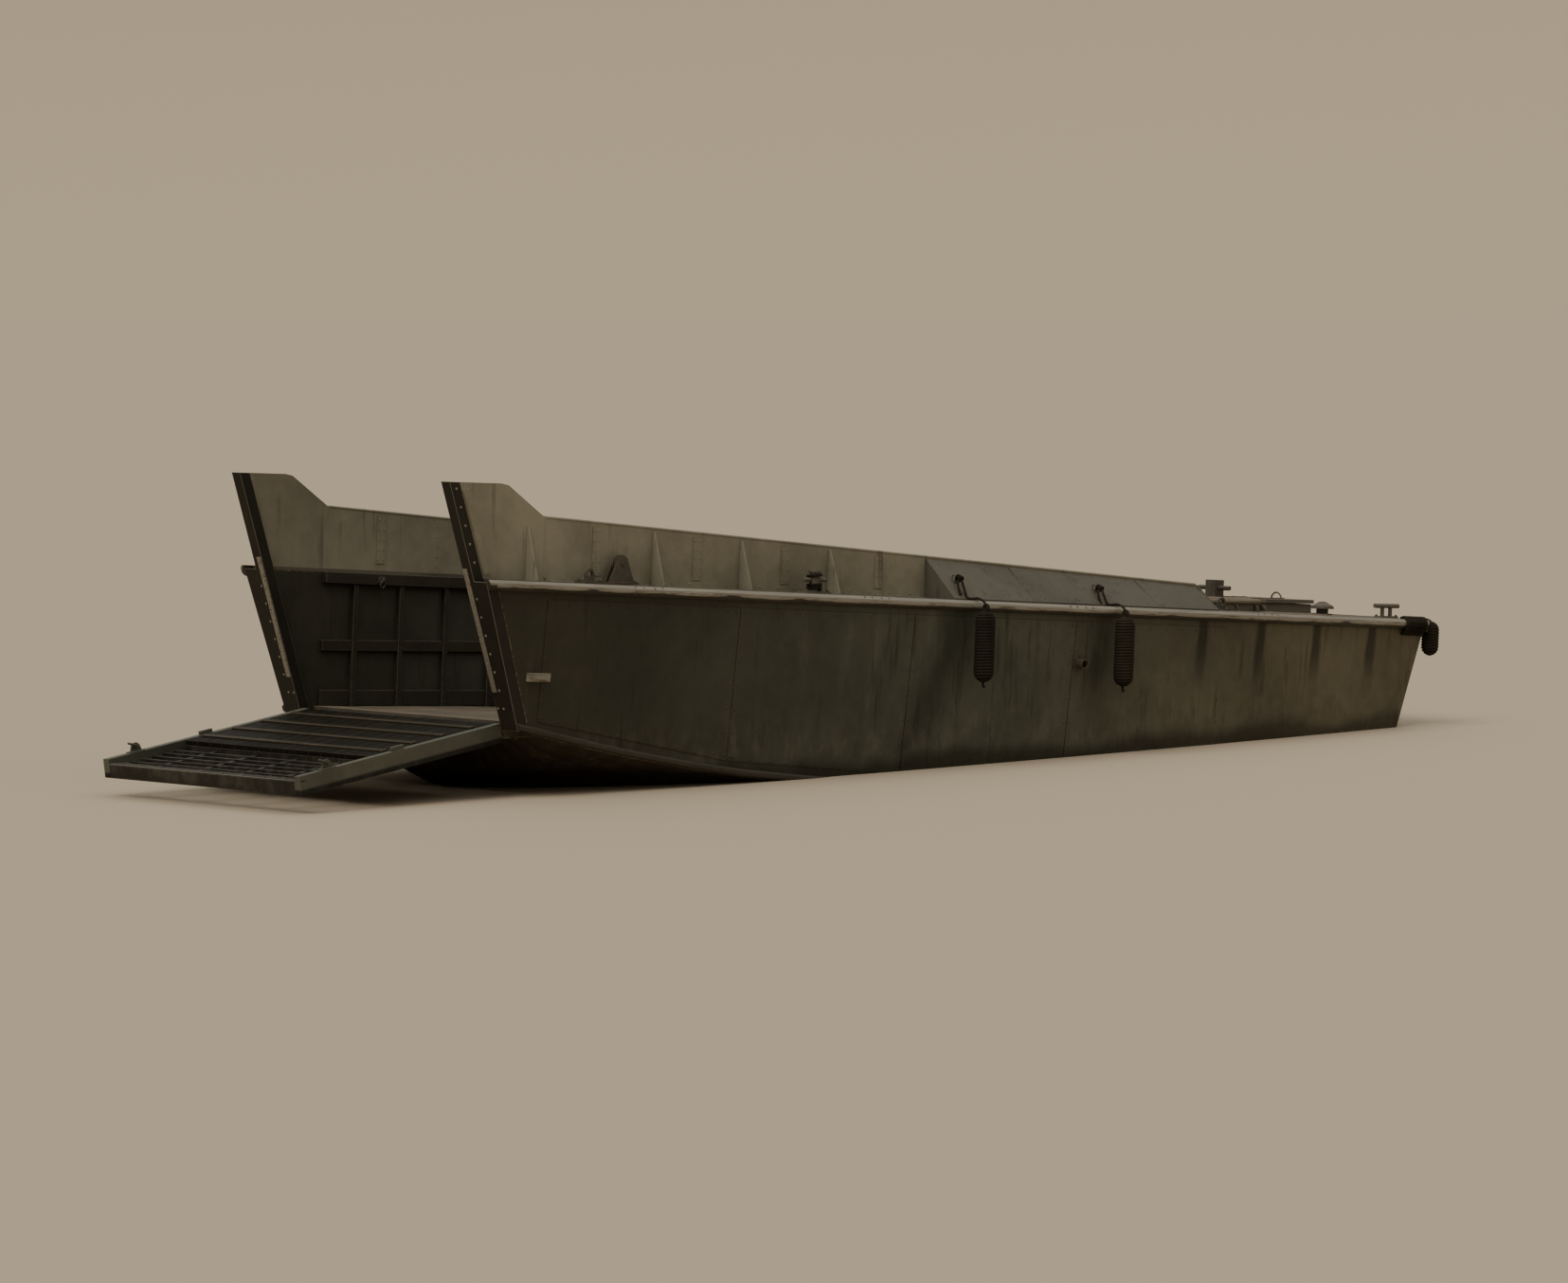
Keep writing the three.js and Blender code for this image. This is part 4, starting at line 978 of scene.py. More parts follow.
def mark_crown(bm):
    """Marks how far out a guard's points lie, 0 at its root and 1 on its crown, above the crown's middle only: wear
    and painted highlight on top, painted shade below.
    """
    rub_and_highlight = bm.verts.layers.float.new("rub_and_highlight")
    for vert in bm.verts:
        crown = rail(vert.co.x * 0.999)
        depth = max(0.0, crown.y - abs(vert.co.y))
        vert[rub_and_highlight] = max(0.0, 1.0 - depth / RUB_DEPTH) if vert.co.z > crown.z else 0.0


for side in SIDES:
    refined(f"sheer_guard_{side}", mark_crown)

STRIP_HALF, STRIP_PROUD, STRIP_ENDS = 0.016, 0.007, (-5.44, 5.02)
GUARD_JOINTS = (-3.3, -1.0, 1.3, 3.6)


def half_oval(half, proud):
    """The outline of a half-oval bar, flat side inwards."""
    quarter = math.pi / 2
    return [(proud * math.cos(angle) - 0.002, half * math.sin(angle)) for angle in steps(-quarter, quarter, 7)]


def guard_strip(bm):
    sweep(bm, half_oval(STRIP_HALF, STRIP_PROUD), [rail(x) for x in steps(*STRIP_ENDS, 48)])
    for x in fill(STRIP_ENDS[0] + 0.05, STRIP_ENDS[1] - 0.05, 0.3):
        dome(bm, rail(x) + (STRIP_PROUD - 0.004) * PORT, PORT, 0.007)


both_sides(guard_strip, bright_strip, "fittings")


def guard_bolts(bm):
    """Four bolts through each slanting joint between two lengths of guard."""
    for x in GUARD_JOINTS:
        for off in (-0.13, -0.05, 0.05, 0.13):
            for rise in (-0.027, 0.027):
                stud(bm, on_wall("sheer_guard_port", x + off, rail(x + off).z + rise), 0.0095, 0.4)


both_sides(guard_bolts, fittings_paint, "fittings")
print("guard strips:", round(STRIP_ENDS[1] - STRIP_ENDS[0], 2), "m long")

# %% [markdown]
# ## Coamings
# The coaming is armour plate on edge. A half-round bar welded along its top stiffens it and saves
# hands, an angle bar bolted to the deck holds its foot, and flat straps cover the butts between plates.
# Every bar is an outline swept along points read from the frame's own coaming.

# %% Coaming bars, straps and bolts
BEAD = 0.012  # radius of the bar along the top
ANGLE_LEG, ANGLE_THICK = 0.045, 0.005
COAMING_ENDS = (-2.82, 4.39)
KNEES_AT = (1.407, 2.357, 3.277)
BUTTS_AT, STRAP_HALF = (0.86, 1.88, 2.82, 3.86), 0.045
SPLASH_FRONT = 0.35  # the forward end of the splash plate
coaming_out = on_wall("coaming_port", 2.0, 1.15)[0].y
coaming_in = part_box("coaming_port")[0].y


def coaming_head(x):
    return max(point.z for point in section("coaming_port", x))


def deck_height(x):
    return on_top("side_deck_port", x, 1.34)[0].z


def angle_outline(leg, thick):
    """An angle bar: one leg up the plate, one leg out over the deck."""
    return [(0, 0), (leg, 0), (leg, thick), (thick, thick), (thick, leg), (0, leg)]


def coaming_bars(bm):
    middle = (coaming_in + coaming_out) / 2
    top = [Vector((x, middle, coaming_head(x))) for x in steps(*COAMING_ENDS, 30)]
    sweep(bm, circle(BEAD), top)
    bays = [SPLASH_FRONT, *KNEES_AT, COAMING_ENDS[1]]
    for x0, x1 in zip(bays, bays[1:]):
        low, high = x0 + 0.025, x1 - 0.025
        foot = [Vector((x, coaming_out, deck_height(x) + 0.001)) for x in steps(low, high, 5)]
        sweep(bm, angle_outline(ANGLE_LEG, ANGLE_THICK), foot)
        for x in fill(low + 0.06, high - 0.06, 0.2):
            z = deck_height(x)
            dome(bm, (x, coaming_out + 0.028, z + ANGLE_THICK), UP, 0.0095)
            dome(bm, (x + 0.07, coaming_out + ANGLE_THICK, z + 0.028), PORT, 0.009)


both_sides(coaming_bars, armour_paint, "armour_paint")


def coaming_straps(bm):
    for x in BUTTS_AT:
        low, high = deck_height(x) + 0.055, coaming_head(x) - 0.03
        for face, out in ((coaming_out, 1), (coaming_in, -1)):
            block(bm, (x - STRAP_HALF, face - 0.001 * out, low), (x + STRAP_HALF, face + 0.006 * out, high))
            for across in (-0.026, 0.026):
                for z in fill(low + 0.03, high - 0.03, 0.075):
                    dome(bm, (x + across, face + 0.006 * out, z), (0, out, 0), 0.0085)
    for x in KNEES_AT:
        for z in fill(deck_height(x) + 0.05, coaming_head(x) - 0.07, 0.08):
            dome(bm, (x, coaming_in, z), -PORT, 0.0085)
    soften(bm, 0.0015, 1, 60)


both_sides(coaming_straps, armour_paint, "armour_paint")
print("coaming bolts on", len(BUTTS_AT), "straps and", len(KNEES_AT), "knees a side")

# %% [markdown]
# ## Wings and posts
# The wings shield the people who wait at the ramp. Flat bars stiffen their raked edges, bolts hold them
# to the posts, and each post carries an eye for the ramp's latch, a fairlead for its hoisting cable and
# a wooden chock that the closed ramp beds against.

# %% Wing details
WING_HEAD, WING_IN = 1.70, 1.19  # the topmost bolt on a wing's raked edge, and the wing's inner face
BAR_AT = 1.148  # how far out the rubbing bar lies


def flat_bar(bm, low, high, half_x, half_y):
    """A flat bar between two points."""
    half = (high - low).length / 2
    block(bm, (-half_x, -half_y, -half), (half_x, half_y, half), facing(high - low, (low + high) / 2))


def wing_details(bm):
    wing_out = on_wall("bow_wing_port", 4.9, 1.3)[0].y
    for z in fill(0.1, WING_HEAD, 0.13):
        at, normal = front_of_post(z)
        if z < 0.9:
            for off in (-0.03, 0.03):
                dome(bm, at + off * PORT, normal, 0.0105)
        if z > 1.05:
            dome(bm, (at.x - 0.05, wing_out, at.z), PORT, 0.0105)
            dome(bm, (at.x - 0.13, wing_out, at.z), PORT, 0.0085)
            dome(bm, (at.x - 0.16, WING_IN, at.z), -PORT, 0.0085)
    for y in (wing_out + 0.004, WING_IN - 0.004):
        low, high = [front_of_post(z)[0] - 0.142 * AHEAD for z in (1.085, WING_HEAD)]
        low.y = high.y = y
        flat_bar(bm, low, high, 0.004, 0.03)


both_sides(wing_details, armour_paint, "armour_paint")


def rubbing_bar(bm):
    """A flat bar up the inner corner of a post's front, rubbed bright by the ramp that closes on it."""
    normal = front_of_post(0.7)[1]
    low, high = [front_of_post(z)[0] + normal * 0.002 for z in (0.22, 1.12)]
    low.y = high.y = BAR_AT + normal.y * 0.002
    flat_bar(bm, low, high, 0.024, 0.004)
    soften(bm, 0.002, 1)
    for z in fill(0.26, 1.08, 0.16):
        at = front_of_post(z)[0] + normal * 0.005
        dome(bm, (at.x, BAR_AT, at.z), normal, 0.009, 0.4)


both_sides(rubbing_bar, bright_strip, "fittings")

# %% [markdown]
# ## The ramp's tread
# The ramp is a steel frame with a tread of oak boards, bolted to its cross beams, and battens across
# them that keep boots from slipping. One slab would look like one slab, so the boards are laid one by
# one, each a little lower or higher than the next, and worn battens get a deeper bevel.

# %% Ramp boards
TREAD_ENDS, TREAD_HALF = (0.0615, 1.2875), 1.0355
TREAD_TOP, TREAD_THICK, TREAD_BOARD = 0.068, 0.0395, 0.138
BATTENS_AT = (0.255, 0.545, 0.835, 1.125)
RAMP_BEAMS_AT = (0.088, 0.665, 1.262)

tread = bmesh.new()
tread_sides = (-TREAD_HALF, TREAD_HALF)
lay_boards(tread, TREAD_ENDS, tread_sides, TREAD_TOP, TREAD_THICK, TREAD_BOARD, random.Random(41))
soften(tread, 0.003)
for x in RAMP_BEAMS_AT:
    for y in steps(-TREAD_HALF + 0.035, TREAD_HALF - 0.035, 30):
        dome(tread, (x, y, TREAD_TOP - 0.002), UP, 0.009, 0.4)
ramp_boards = worn_boards("ramp boards", RAMP, soaked=1.0)
finish_piece(tread, "ramp_tread_boards", ramp_boards, "worn_timber", "ramp", ("ramp_deck",), RAMP)

battens = bmesh.new()
for x in BATTENS_AT:
    block(battens, (x - 0.025, -1.008, TREAD_TOP - 0.004), (x + 0.025, 1.008, 0.0838))
soften(battens, 0.007)
for x in BATTENS_AT:
    for y in steps(-0.95, 0.95, 8):
        dome(battens, (x, y, 0.0825), UP, 0.011, 0.3)
cross_boards = worn_boards("battens and thwarts", RAMP, turned=True, soaked=0.8)
finish_piece(battens, "ramp_battens", cross_boards, "worn_timber", "ramp", (), RAMP)
print("ramp tread:", len(BATTENS_AT), "battens over the boards")

# %% [markdown]
# ## The ramp's steelwork
# Rivets hold the outer skin to the frame, angle bars stiffen it from outside, and a flat bar with
# studs caps the outer end, which grinds on the beach. Lugs near the tip take the hoisting cables. All of
# it stays within a few millimetres of the frame's sides, because the ramp closes between the posts.

# %% Ramp details
BEAM_HALF, FRAME_HALF = 0.07, 1.1  # half the frame's depth, and half its width
SIDE_BEAMS_AT = (-FRAME_HALF + 0.031, FRAME_HALF - 0.031)
RAMP_LENGTH, WINDOW_END = 2.03, 1.93  # the tip, and the outer end of the grille
CABLE_LUG_AT = 1.74
STIFFENERS_AT = (-0.8, -0.4, 0.0, 0.4, 0.8)
STIFFENER = [(-0.02, 0.002), (-0.02, -0.028), (-0.015, -0.028), (-0.015, -0.004), (0.025, -0.004), (0.025, 0.002)]


def ramp_rivets(bm):
    rows = [((RAMP_LENGTH, y, -0.03), AHEAD) for y in fill(-1.04, 1.04, 0.1)]
    for x in (*RAMP_BEAMS_AT, RAMP_LENGTH - 0.05):
        rows += [((x, y, -BEAM_HALF), -UP) for y in fill(-1.02, 1.02, 0.12)]
    for y in SIDE_BEAMS_AT:
        rows += [((x, y, BEAM_HALF), UP) for x in fill(0.12, RAMP_LENGTH - 0.05, 0.145)]
        way = math.copysign(1.0, y) * PORT
        for z in (-0.048, 0.048):
            rows += [((x, way.y * FRAME_HALF, z), way) for x in fill(0.1, RAMP_LENGTH - 0.04, 0.11)]
    for at, way in rows:
        dome(bm, at, way, 0.008, 0.45)


def ramp_bars(bm):
    for y in STIFFENERS_AT:
        sweep(bm, STIFFENER, [(x, y, -BEAM_HALF) for x in (0.14, 1.24)])
    tip = RAMP_LENGTH - 0.001
    block(bm, (RAMP_LENGTH - 0.05, -FRAME_HALF, BEAM_HALF - 0.044), (tip, FRAME_HALF, BEAM_HALF - 0.034))
    for y in SIDE_BEAMS_AT:
        for x, half_x, half_y, high in ((CABLE_LUG_AT, 0.07, 0.028, 0.008), (1.06, 0.06, 0.012, 0.03)):
            block(bm, (x - half_x, y - half_y, BEAM_HALF - 0.001), (x + half_x, y + half_y, BEAM_HALF + high))
    soften(bm, 0.002, 1)


def cable_lug(bm, y):
    """A rounded plate with a hole, bolted to the beam, with a shackle through it."""
    plate = bmesh.new()
    outline = [(-0.055, 0.0), (0.055, 0.0), (0.04, 0.04), (0.016, 0.062), (-0.016, 0.062), (-0.04, 0.04)]
    corners = [(CABLE_LUG_AT + a, y - 0.006, BEAM_HALF + 0.006 + b) for a, b in outline]
    push(plate, corners, [Matrix.Translation(0.012 * PORT)])
    bmesh.ops.recalc_face_normals(plate, faces=plate.faces)
    soften(plate, 0.0025)
    copy_into(bm, plate)
    pin_z = BEAM_HALF + 0.045
    bar(bm, (CABLE_LUG_AT, y - 0.026, pin_z), (CABLE_LUG_AT, y + 0.026, pin_z), 0.009, 10)
    bow = [(CABLE_LUG_AT + a, y + b, pin_z + c) for a, b, c in (
        (0.0, -0.018, 0.0), (0.024, -0.021, 0.012), (0.05, -0.014, 0.024), (0.062, 0.0, 0.029),
        (0.05, 0.014, 0.024), (0.024, 0.021, 0.012), (0.0, 0.018, 0.0))]
    push_along(bm, circle(0.007, 8), curved(bow, 0.008))


ramp_details = bmesh.new()
ramp_bars(ramp_details)
ramp_rivets(ramp_details)
for y in SIDE_BEAMS_AT:
    cable_lug(ramp_details, y)
for y in steps(-0.92, 0.92, 9):
    for x in (WINDOW_END + 0.025, WINDOW_END + 0.075):
        dome(ramp_details, (x, y, BEAM_HALF - 0.036), UP, 0.011, 0.6)
finish_piece(ramp_details, "ramp_details", ramp_paint, "armour_paint", "ramp", (), RAMP)
print("ramp details:", len(STIFFENERS_AT), "stiffeners and two cable lugs")

# %% [markdown]
# ## Rope fenders
# Two fenders hang at the port side: a bundle of old rope, wound over with a tight rope coat. The coat
# is one rope on a spiral that follows the bundle from its lower tip to its upper one. The lanyard is a
# three-strand rope, so its outline has three bulges that turn as they go. It leads from the fender
# over the guard to a ring bolt on the splash plate, where it is hitched.

# %% Tarred rope
def tarred_rope(name):
    """Dark rope with paler fibres."""
    material, shader, world, _ = start(name)
    tone = use(PATCHES, Vector=world, Size=0.25)
    fibres = noise(stretched(world, (160.0, 160.0, 420.0)), 1.0, 3.0, 0.7)
    colour = mixed(tone["Tone"], (0.010, 0.0085, 0.006), (0.026, 0.0215, 0.0145))
    colour = mixed(step(fibres, 0.5, 0.75), colour, (0.05, 0.041, 0.028))
    surface(shader, colour, 0.9, fibres, 0.0016, Specular_IOR_Level=0.12)
    return material


FENDER_RADIUS, FENDER_LENGTH = 0.082, 0.56
COAT_ROPE, LANYARD = 0.0125, 0.0105  # radius of the rope wound round a fender, and of its lanyard
ROPE_LAY, LONG_LAY = 70.0, 55.0  # how far a rope's strands turn, in radians for each metre
FENDERS_AT = {"forward": 0.2, "aft": -1.42}
rope_finish = tarred_rope("tarred rope")


def deck_edge(x):
    return max(section("side_deck_port", x), key=lambda point: point.y)


def fender_coat(bm, at, outside=FENDER_RADIUS, whole=FENDER_LENGTH):
    """One rope wound round the bundle, tip to tip, over a round core."""
    inside = outside - COAT_ROPE
    half_straight = whole / 2 - outside
    quarter = inside * math.pi / 2
    length = 2 * (half_straight + quarter)
    turns, per_turn = length / (COAT_ROPE * 1.85), 20
    path = []
    for k in range(round(turns * per_turn) + 1):
        along = length * (k / (turns * per_turn) - 0.5)  # from the middle of the bundle, upwards
        radius, z = inside, along
        if abs(along) > half_straight:
            lean = (length / 2 - abs(along)) / inside
            radius, z = inside * math.sin(lean), math.copysign(half_straight + inside * math.cos(lean), along)
        path.append(at + Vector((*polar(max(radius, 0.006), 2 * math.pi * k / per_turn), z)))
    push_along(bm, circle(COAT_ROPE, 7), path)
    bar(bm, at - half_straight * UP, at + half_straight * UP, inside, 16)


def rope_end(bm, at, offsets):
    """A tail of rope with its end whipped, through points given from one place."""
    path = curved([at + Vector(offset) for offset in offsets], 0.007)
    push_along(bm, three_strands(LANYARD), path, ROPE_LAY)
    push_along(bm, circle(LANYARD * 1.12, 9), curved(path[-3:], 0.01))


for name, x in FENDERS_AT.items():
    fender = bmesh.new()
    over, level = rail(x).y, deck_edge(x).z
    middle = Vector((x, over + FENDER_RADIUS + 0.008, level - 0.07 - FENDER_LENGTH / 2))
    fender_coat(fender, middle)
    splash = section("splash_plate_port", x + 0.1)
    foot = max(splash, key=lambda point: point.y)
    head = max(splash, key=lambda point: point.z)
    ring_at = foot.lerp(head, 0.45) + Vector((-0.1, 0.012, 0.03))
    lead = [
        middle + 0.265 * UP, middle + Vector((0, -0.012, 0.33)), (x, over + 0.042, level + 0.006),
        (x, over - 0.005, level + 0.018), (x, over - 0.04, level + 0.014), (x, foot.y + 0.02, level + 0.014),
        (x, foot.y - 0.012, level + 0.035), ring_at + Vector((0, 0.06, -0.005)), ring_at + Vector((0, 0.018, 0.004)),
    ]
    push_along(fender, three_strands(LANYARD), curved(lead, 0.007), ROPE_LAY)
    hoop(fender, middle + 0.297 * UP, AHEAD, 0.026, 0.010)
    for k in range(3):
        hitch_at = ring_at + Vector((0.0, 0.026 + 0.019 * k, 0.002 - 0.006 * k))
        hoop(fender, hitch_at, (0.1, 1, -0.35), 0.0185, 0.008, 16, 7)
    rope_end(fender, ring_at, ((0, 0.05, -0.01), (0.03, 0.062, -0.03), (0.05, 0.085, -0.075), (0.055, 0.118, -0.13)))
    rope_end(fender, middle, ((0, 0, -0.26), (0.004, 0, -0.29), (-0.004, 0.006, -0.32)))
    finish_piece(fender, f"rope_fender_{name}", rope_finish, "rope", "hull", (f"fender_{name}",))
print("fenders at", FENDERS_AT)

# %% [markdown]
# ## The well's floor
# The well carries people and small vehicles, so its floor is loose boards on beams, scoured by boots
# and sand. They are laid like the ramp's, in lengths whose joints never meet side by side, each screwed
# down in pairs. The passages beside the engine have the same boards, with a hole left for the engine.

# %% Floor boards
BOARD_WIDTH, FLOOR_DEPTH, FLOOR_HALF = 0.149, 0.03, 1.188
WELL_ENDS, WELL_BUTTS, PASSAGE_ENDS = (-0.699, 4.2895), (0.55, 2.2), (-2.829, -0.7005)
PIT_ENDS, PIT_HALF, CASE_HALF = (-2.62, -0.90), 0.42, 0.6  # the hole below the engine, and the case over it
whole_floor, pit = (-FLOOR_HALF, FLOOR_HALF), (-PIT_HALF, PIT_HALF)
draw = random.Random(97)


def floor_of(name, areas, screwed, butts=()):
    """Boards over some areas, with pairs of screws through every board over every beam."""
    bm = bmesh.new()
    for ends, sides in areas:
        lay_boards(bm, ends, sides, 0.0, FLOOR_DEPTH, BOARD_WIDTH, draw, butts)
    soften(bm, 0.0025, 1)
    for ends, sides in screwed:
        for x in fill(ends[0] + 0.03, ends[1] - 0.03, 0.55):
            for y in fill(sides[0] + 0.03, sides[1] - 0.03, BOARD_WIDTH / 2):
                dome(bm, (x, y, -0.0012), UP, 0.006, 0.3, 6)
    finish_piece(bm, f"{name}_boards", bare_boards, "worn_timber", replaces=(f"{name}_floor",))


floor_of("well", [(WELL_ENDS, whole_floor)], [(WELL_ENDS, whole_floor)], WELL_BUTTS)
floor_of(
    "passage",
    [(PASSAGE_ENDS, (PIT_HALF, FLOOR_HALF)), (PASSAGE_ENDS, (-FLOOR_HALF, -PIT_HALF)),
     ((PASSAGE_ENDS[0], PIT_ENDS[0]), pit), ((PIT_ENDS[1], PASSAGE_ENDS[1]), pit)],
    [(PASSAGE_ENDS, (CASE_HALF, FLOOR_HALF)), (PASSAGE_ENDS, (-FLOOR_HALF, -CASE_HALF))],
)
print("floor boards laid in", WELL_ENDS, "and", PASSAGE_ENDS)

# %% [markdown]
# ## Ribs and stringers
# Inside, the topsides show how the hull is built: ribs stand every half metre, a heavy inwale ties
# their heads under the deck, a thinner stringer runs halfway up and a kick board guards their feet.
# Lashing rings hang on the inwale. Every run is an outline swept along the wall.

# %% Inside the topsides
WALL_IN, INWALE = 1.19, 0.052  # the wall's inner face, and the inwale's depth
RIB_HALF, RIB_DEPTH = 0.022, 0.038
WELL_RIBS_AT, WELL_WALL_ENDS = fill(-0.55, 4.12, 0.467), (-0.695, 4.44)
PASSAGE_RIBS_AT, PASSAGE_WALL_ENDS = fill(-2.6, -0.9, 0.5), (-2.78, -0.745)


def framing(bm, ends, ribs_at):
    """The kick board, the stringer, the inwale and the ribs along a stretch of wall."""
    for low, high, depth in ((0.005, 0.12, 0.022), (0.42, 0.5, 0.03)):
        sweep(bm, [(-depth, low), (0.0, low), (0.0, high), (-depth, high)], [(x, WALL_IN, 0.0) for x in ends])
    head = [(x, WALL_IN, wall_top(x)) for x in steps(*ends, 6)]
    sweep(bm, [(-INWALE, -0.08), (0.0, -0.08), (0.0, 0.002), (-INWALE, 0.002)], head)
    for x in ribs_at:
        block(bm, (x - RIB_HALF, WALL_IN - RIB_DEPTH, 0.001), (x + RIB_HALF, WALL_IN, wall_top(x) - 0.081))
    soften(bm)


def well_framing(bm):
    framing(bm, WELL_WALL_ENDS, WELL_RIBS_AT)
    for x in WELL_RIBS_AT:
        top = wall_top(x)
        for depth, heights in ((INWALE, (top - 0.055, top - 0.022)), (RIB_DEPTH, (0.44, 0.48, 0.03, 0.095))):
            for z in heights:
                dome(bm, (x, WALL_IN - depth, z), -PORT, 0.0085, 0.45)


def lashing_rings(bm):
    for x in WELL_RIBS_AT[1::2]:
        at = Vector((x + 0.23, WALL_IN - INWALE, wall_top(x + 0.23) - 0.04))
        block(bm, at + Vector((-0.032, -0.006, -0.024)), at + Vector((0.032, 0.0, 0.024)))
        hoop(bm, at - 0.013 * PORT, AHEAD, 0.011, 0.005, 12, 6)
        hoop(bm, at + Vector((0.0, -0.019, -0.034)), (0.25, 1, 0.2), 0.03, 0.0055, 20, 6)
        for off in (-0.023, 0.023):
            dome(bm, at + Vector((off, -0.006, 0.0)), -PORT, 0.006, 0.5, 6)


both_sides(well_framing, inside_paint, "hull_paint")
both_sides(lashing_rings, fittings_paint, "fittings")


def passage_framing(bm):
    framing(bm, PASSAGE_WALL_ENDS, PASSAGE_RIBS_AT)


both_sides(passage_framing, inside_paint, "hull_paint")
print("ribs:", len(WELL_RIBS_AT), "a side in the well")

# %% [markdown]
# ## The bulkhead behind the well
# A plain wooden wall closes the well aft. Battens bolted down its face stop it from bulging when people
# lean on it, and a rounded cap covers its top edge. Two foot rungs lead up each side.

# %% Bulkhead details
WALL, WALL_TOP, WALL_HALF = -0.70, 0.93, 1.13  # x of the bulkhead's face, its top and half its width
WALL_BATTENS_AT = (-0.95, -0.48, 0.0, 0.48, 0.95)
bulkhead = bmesh.new()
for y in WALL_BATTENS_AT:
    block(bulkhead, (WALL - 0.001, y - 0.045, 0.13), (WALL + 0.028, y + 0.045, WALL_TOP - 0.06))
block(bulkhead, (WALL - 0.001, -WALL_HALF, 0.002), (WALL + 0.024, WALL_HALF, 0.12))
block(bulkhead, (WALL - 0.052, -WALL_HALF, WALL_TOP - 0.05), (WALL + 0.034, WALL_HALF, WALL_TOP + 0.022))
soften(bulkhead, 0.008, 3)
for y in WALL_BATTENS_AT:
    for z in fill(0.18, 0.82, 0.16):
        dome(bulkhead, (WALL + 0.028, y, z), AHEAD, 0.009)
finish_piece(bulkhead, "bulkhead_battens", inside_paint, "hull_paint")

rungs = bmesh.new()
for y in (-0.72, 0.72):
    for z in (0.34, 0.64):
        bends = ((0, -0.14), (0.06, -0.14), (0.095, -0.12), (0.095, 0.12), (0.06, 0.14), (0, 0.14))
        push_along(rungs, circle(0.011), curved([(WALL + out, y + across, z) for out, across in bends], 0.02))
        for off in (-0.14, 0.14):
            bar(rungs, (WALL - 0.001, y + off, z), (WALL + 0.007, y + off, z), 0.028, 14)
finish_piece(rungs, "bulkhead_rungs", fittings_paint, "fittings")

# %% [markdown]
# ## The afterdeck
# The afterdeck is plywood under paint, screwed down along its edges, with cover strips over the
# joints. Each round cockpit has a ring rail on brackets. The hatch lid turns on two strap hinges, whose
# lid leaves ride on the lid and whose deck leaves stay behind. Fuel is filled through two bronze caps,
# and two mushroom vents air the space below.

# %% Deck strips and screws
COCKPITS_AT, COCKPIT_RADIUS = (-3.7, 0.56), 0.431
AFTERDECK_FRONT, STERN_DECK = -2.832, (-5.40, -2.86)
COVER_STRIPS = ((-4.28, 0.13, 1.36), (-5.33, 0.0, 1.02), (-2.9, 0.0, 1.45))  # x, and the ends across


def deck_at(x, y):
    """The spot on the deck, port or starboard."""
    point, normal = on_top("afterdeck" if x < AFTERDECK_FRONT else "side_deck_port", x, abs(y))
    return Vector((point.x, math.copysign(point.y, y), point.z)), normal


def deck_edge_aft(x):
    return max(point.y for point in section("afterdeck", x))


def afterdeck_strips(bm):
    for x, y0, y1 in COVER_STRIPS:
        z = deck_at(x, y0 + 0.1)[0].z
        block(bm, (x - 0.028, y0, z - 0.002), (x + 0.028, y1, z + 0.0045))
    soften(bm, 0.002, 1)
    for x in fill(*STERN_DECK, 0.16):
        stud(bm, deck_at(x, deck_edge_aft(x) - 0.045), 0.0065, 0.35, 6)


both_sides(afterdeck_strips, deck_paint, "deck_paint")


def side_deck_screws(bm):
    for x in fill(-2.7, 4.85, 0.16):
        stud(bm, deck_at(x, deck_edge(x).y - 0.035), 0.0065, 0.35, 6)


both_sides(side_deck_screws, deck_paint, "deck_paint")

# %% Cockpit rims
def cockpit_rims(bm):
    """Brackets and bolts under the ring rail, two steps inside and a round seat on a post."""
    middle = Vector((*COCKPITS_AT, 0.0))
    deck = deck_at(COCKPITS_AT[0], COCKPITS_AT[1] + 0.5)[0].z
    bracket = ((-0.002, 0.0), (0.055, 0.0), (0.055, 0.008), (0.012, 0.062), (-0.002, 0.062))
    for k in range(12):
        turn = Matrix.Translation(middle) @ Matrix.Rotation(2 * math.pi * (k + 0.5) / 12, 4, "Z")
        corners = [turn @ Vector((COCKPIT_RADIUS + a, -0.004, deck + b)) for a, b in bracket]
        push(bm, corners, [Matrix.Translation(turn.to_3x3() @ (0.008 * PORT))])
        dome(bm, turn @ Vector((COCKPIT_RADIUS + 0.05, 0.03, deck)), UP, 0.008)
    for z in (0.3, 0.58):
        block(bm, (-3.345, 0.46, z), (-3.29, 0.66, z + 0.02))
    bar(bm, middle, middle + 0.42 * UP, 0.03, 16)
    bar(bm, middle + 0.42 * UP, middle + 0.46 * UP, 0.16, 28)
    soften(bm, 0.003, 2, 60)


both_sides(cockpit_rims, fittings_paint, "fittings")

# %% Hatch hinges, hasp and filler caps
LID_TOP, LID_FACE, LID_HINGES_AT = 0.971, -5.285, (-0.2, 0.2)
hinge_at = TO_HULL @ Vector(joints["stern_hatch_lift"]["pos_m"])
lid_straps, deck_leaves = bmesh.new(), bmesh.new()
for y in LID_HINGES_AT:
    block(lid_straps, (hinge_at.x - 0.38, y - 0.022, LID_TOP), (hinge_at.x - 0.002, y + 0.022, LID_TOP + 0.006))
    block(deck_leaves, (hinge_at.x + 0.012, y - 0.045, 0.869), (hinge_at.x + 0.02, y + 0.045, 0.93))
block(lid_straps, (LID_FACE - 0.001, -0.03, LID_TOP - 0.034), (LID_FACE + 0.09, 0.03, LID_TOP + 0.005))
soften(lid_straps, 0.0015, 1)
soften(deck_leaves, 0.0015, 1)
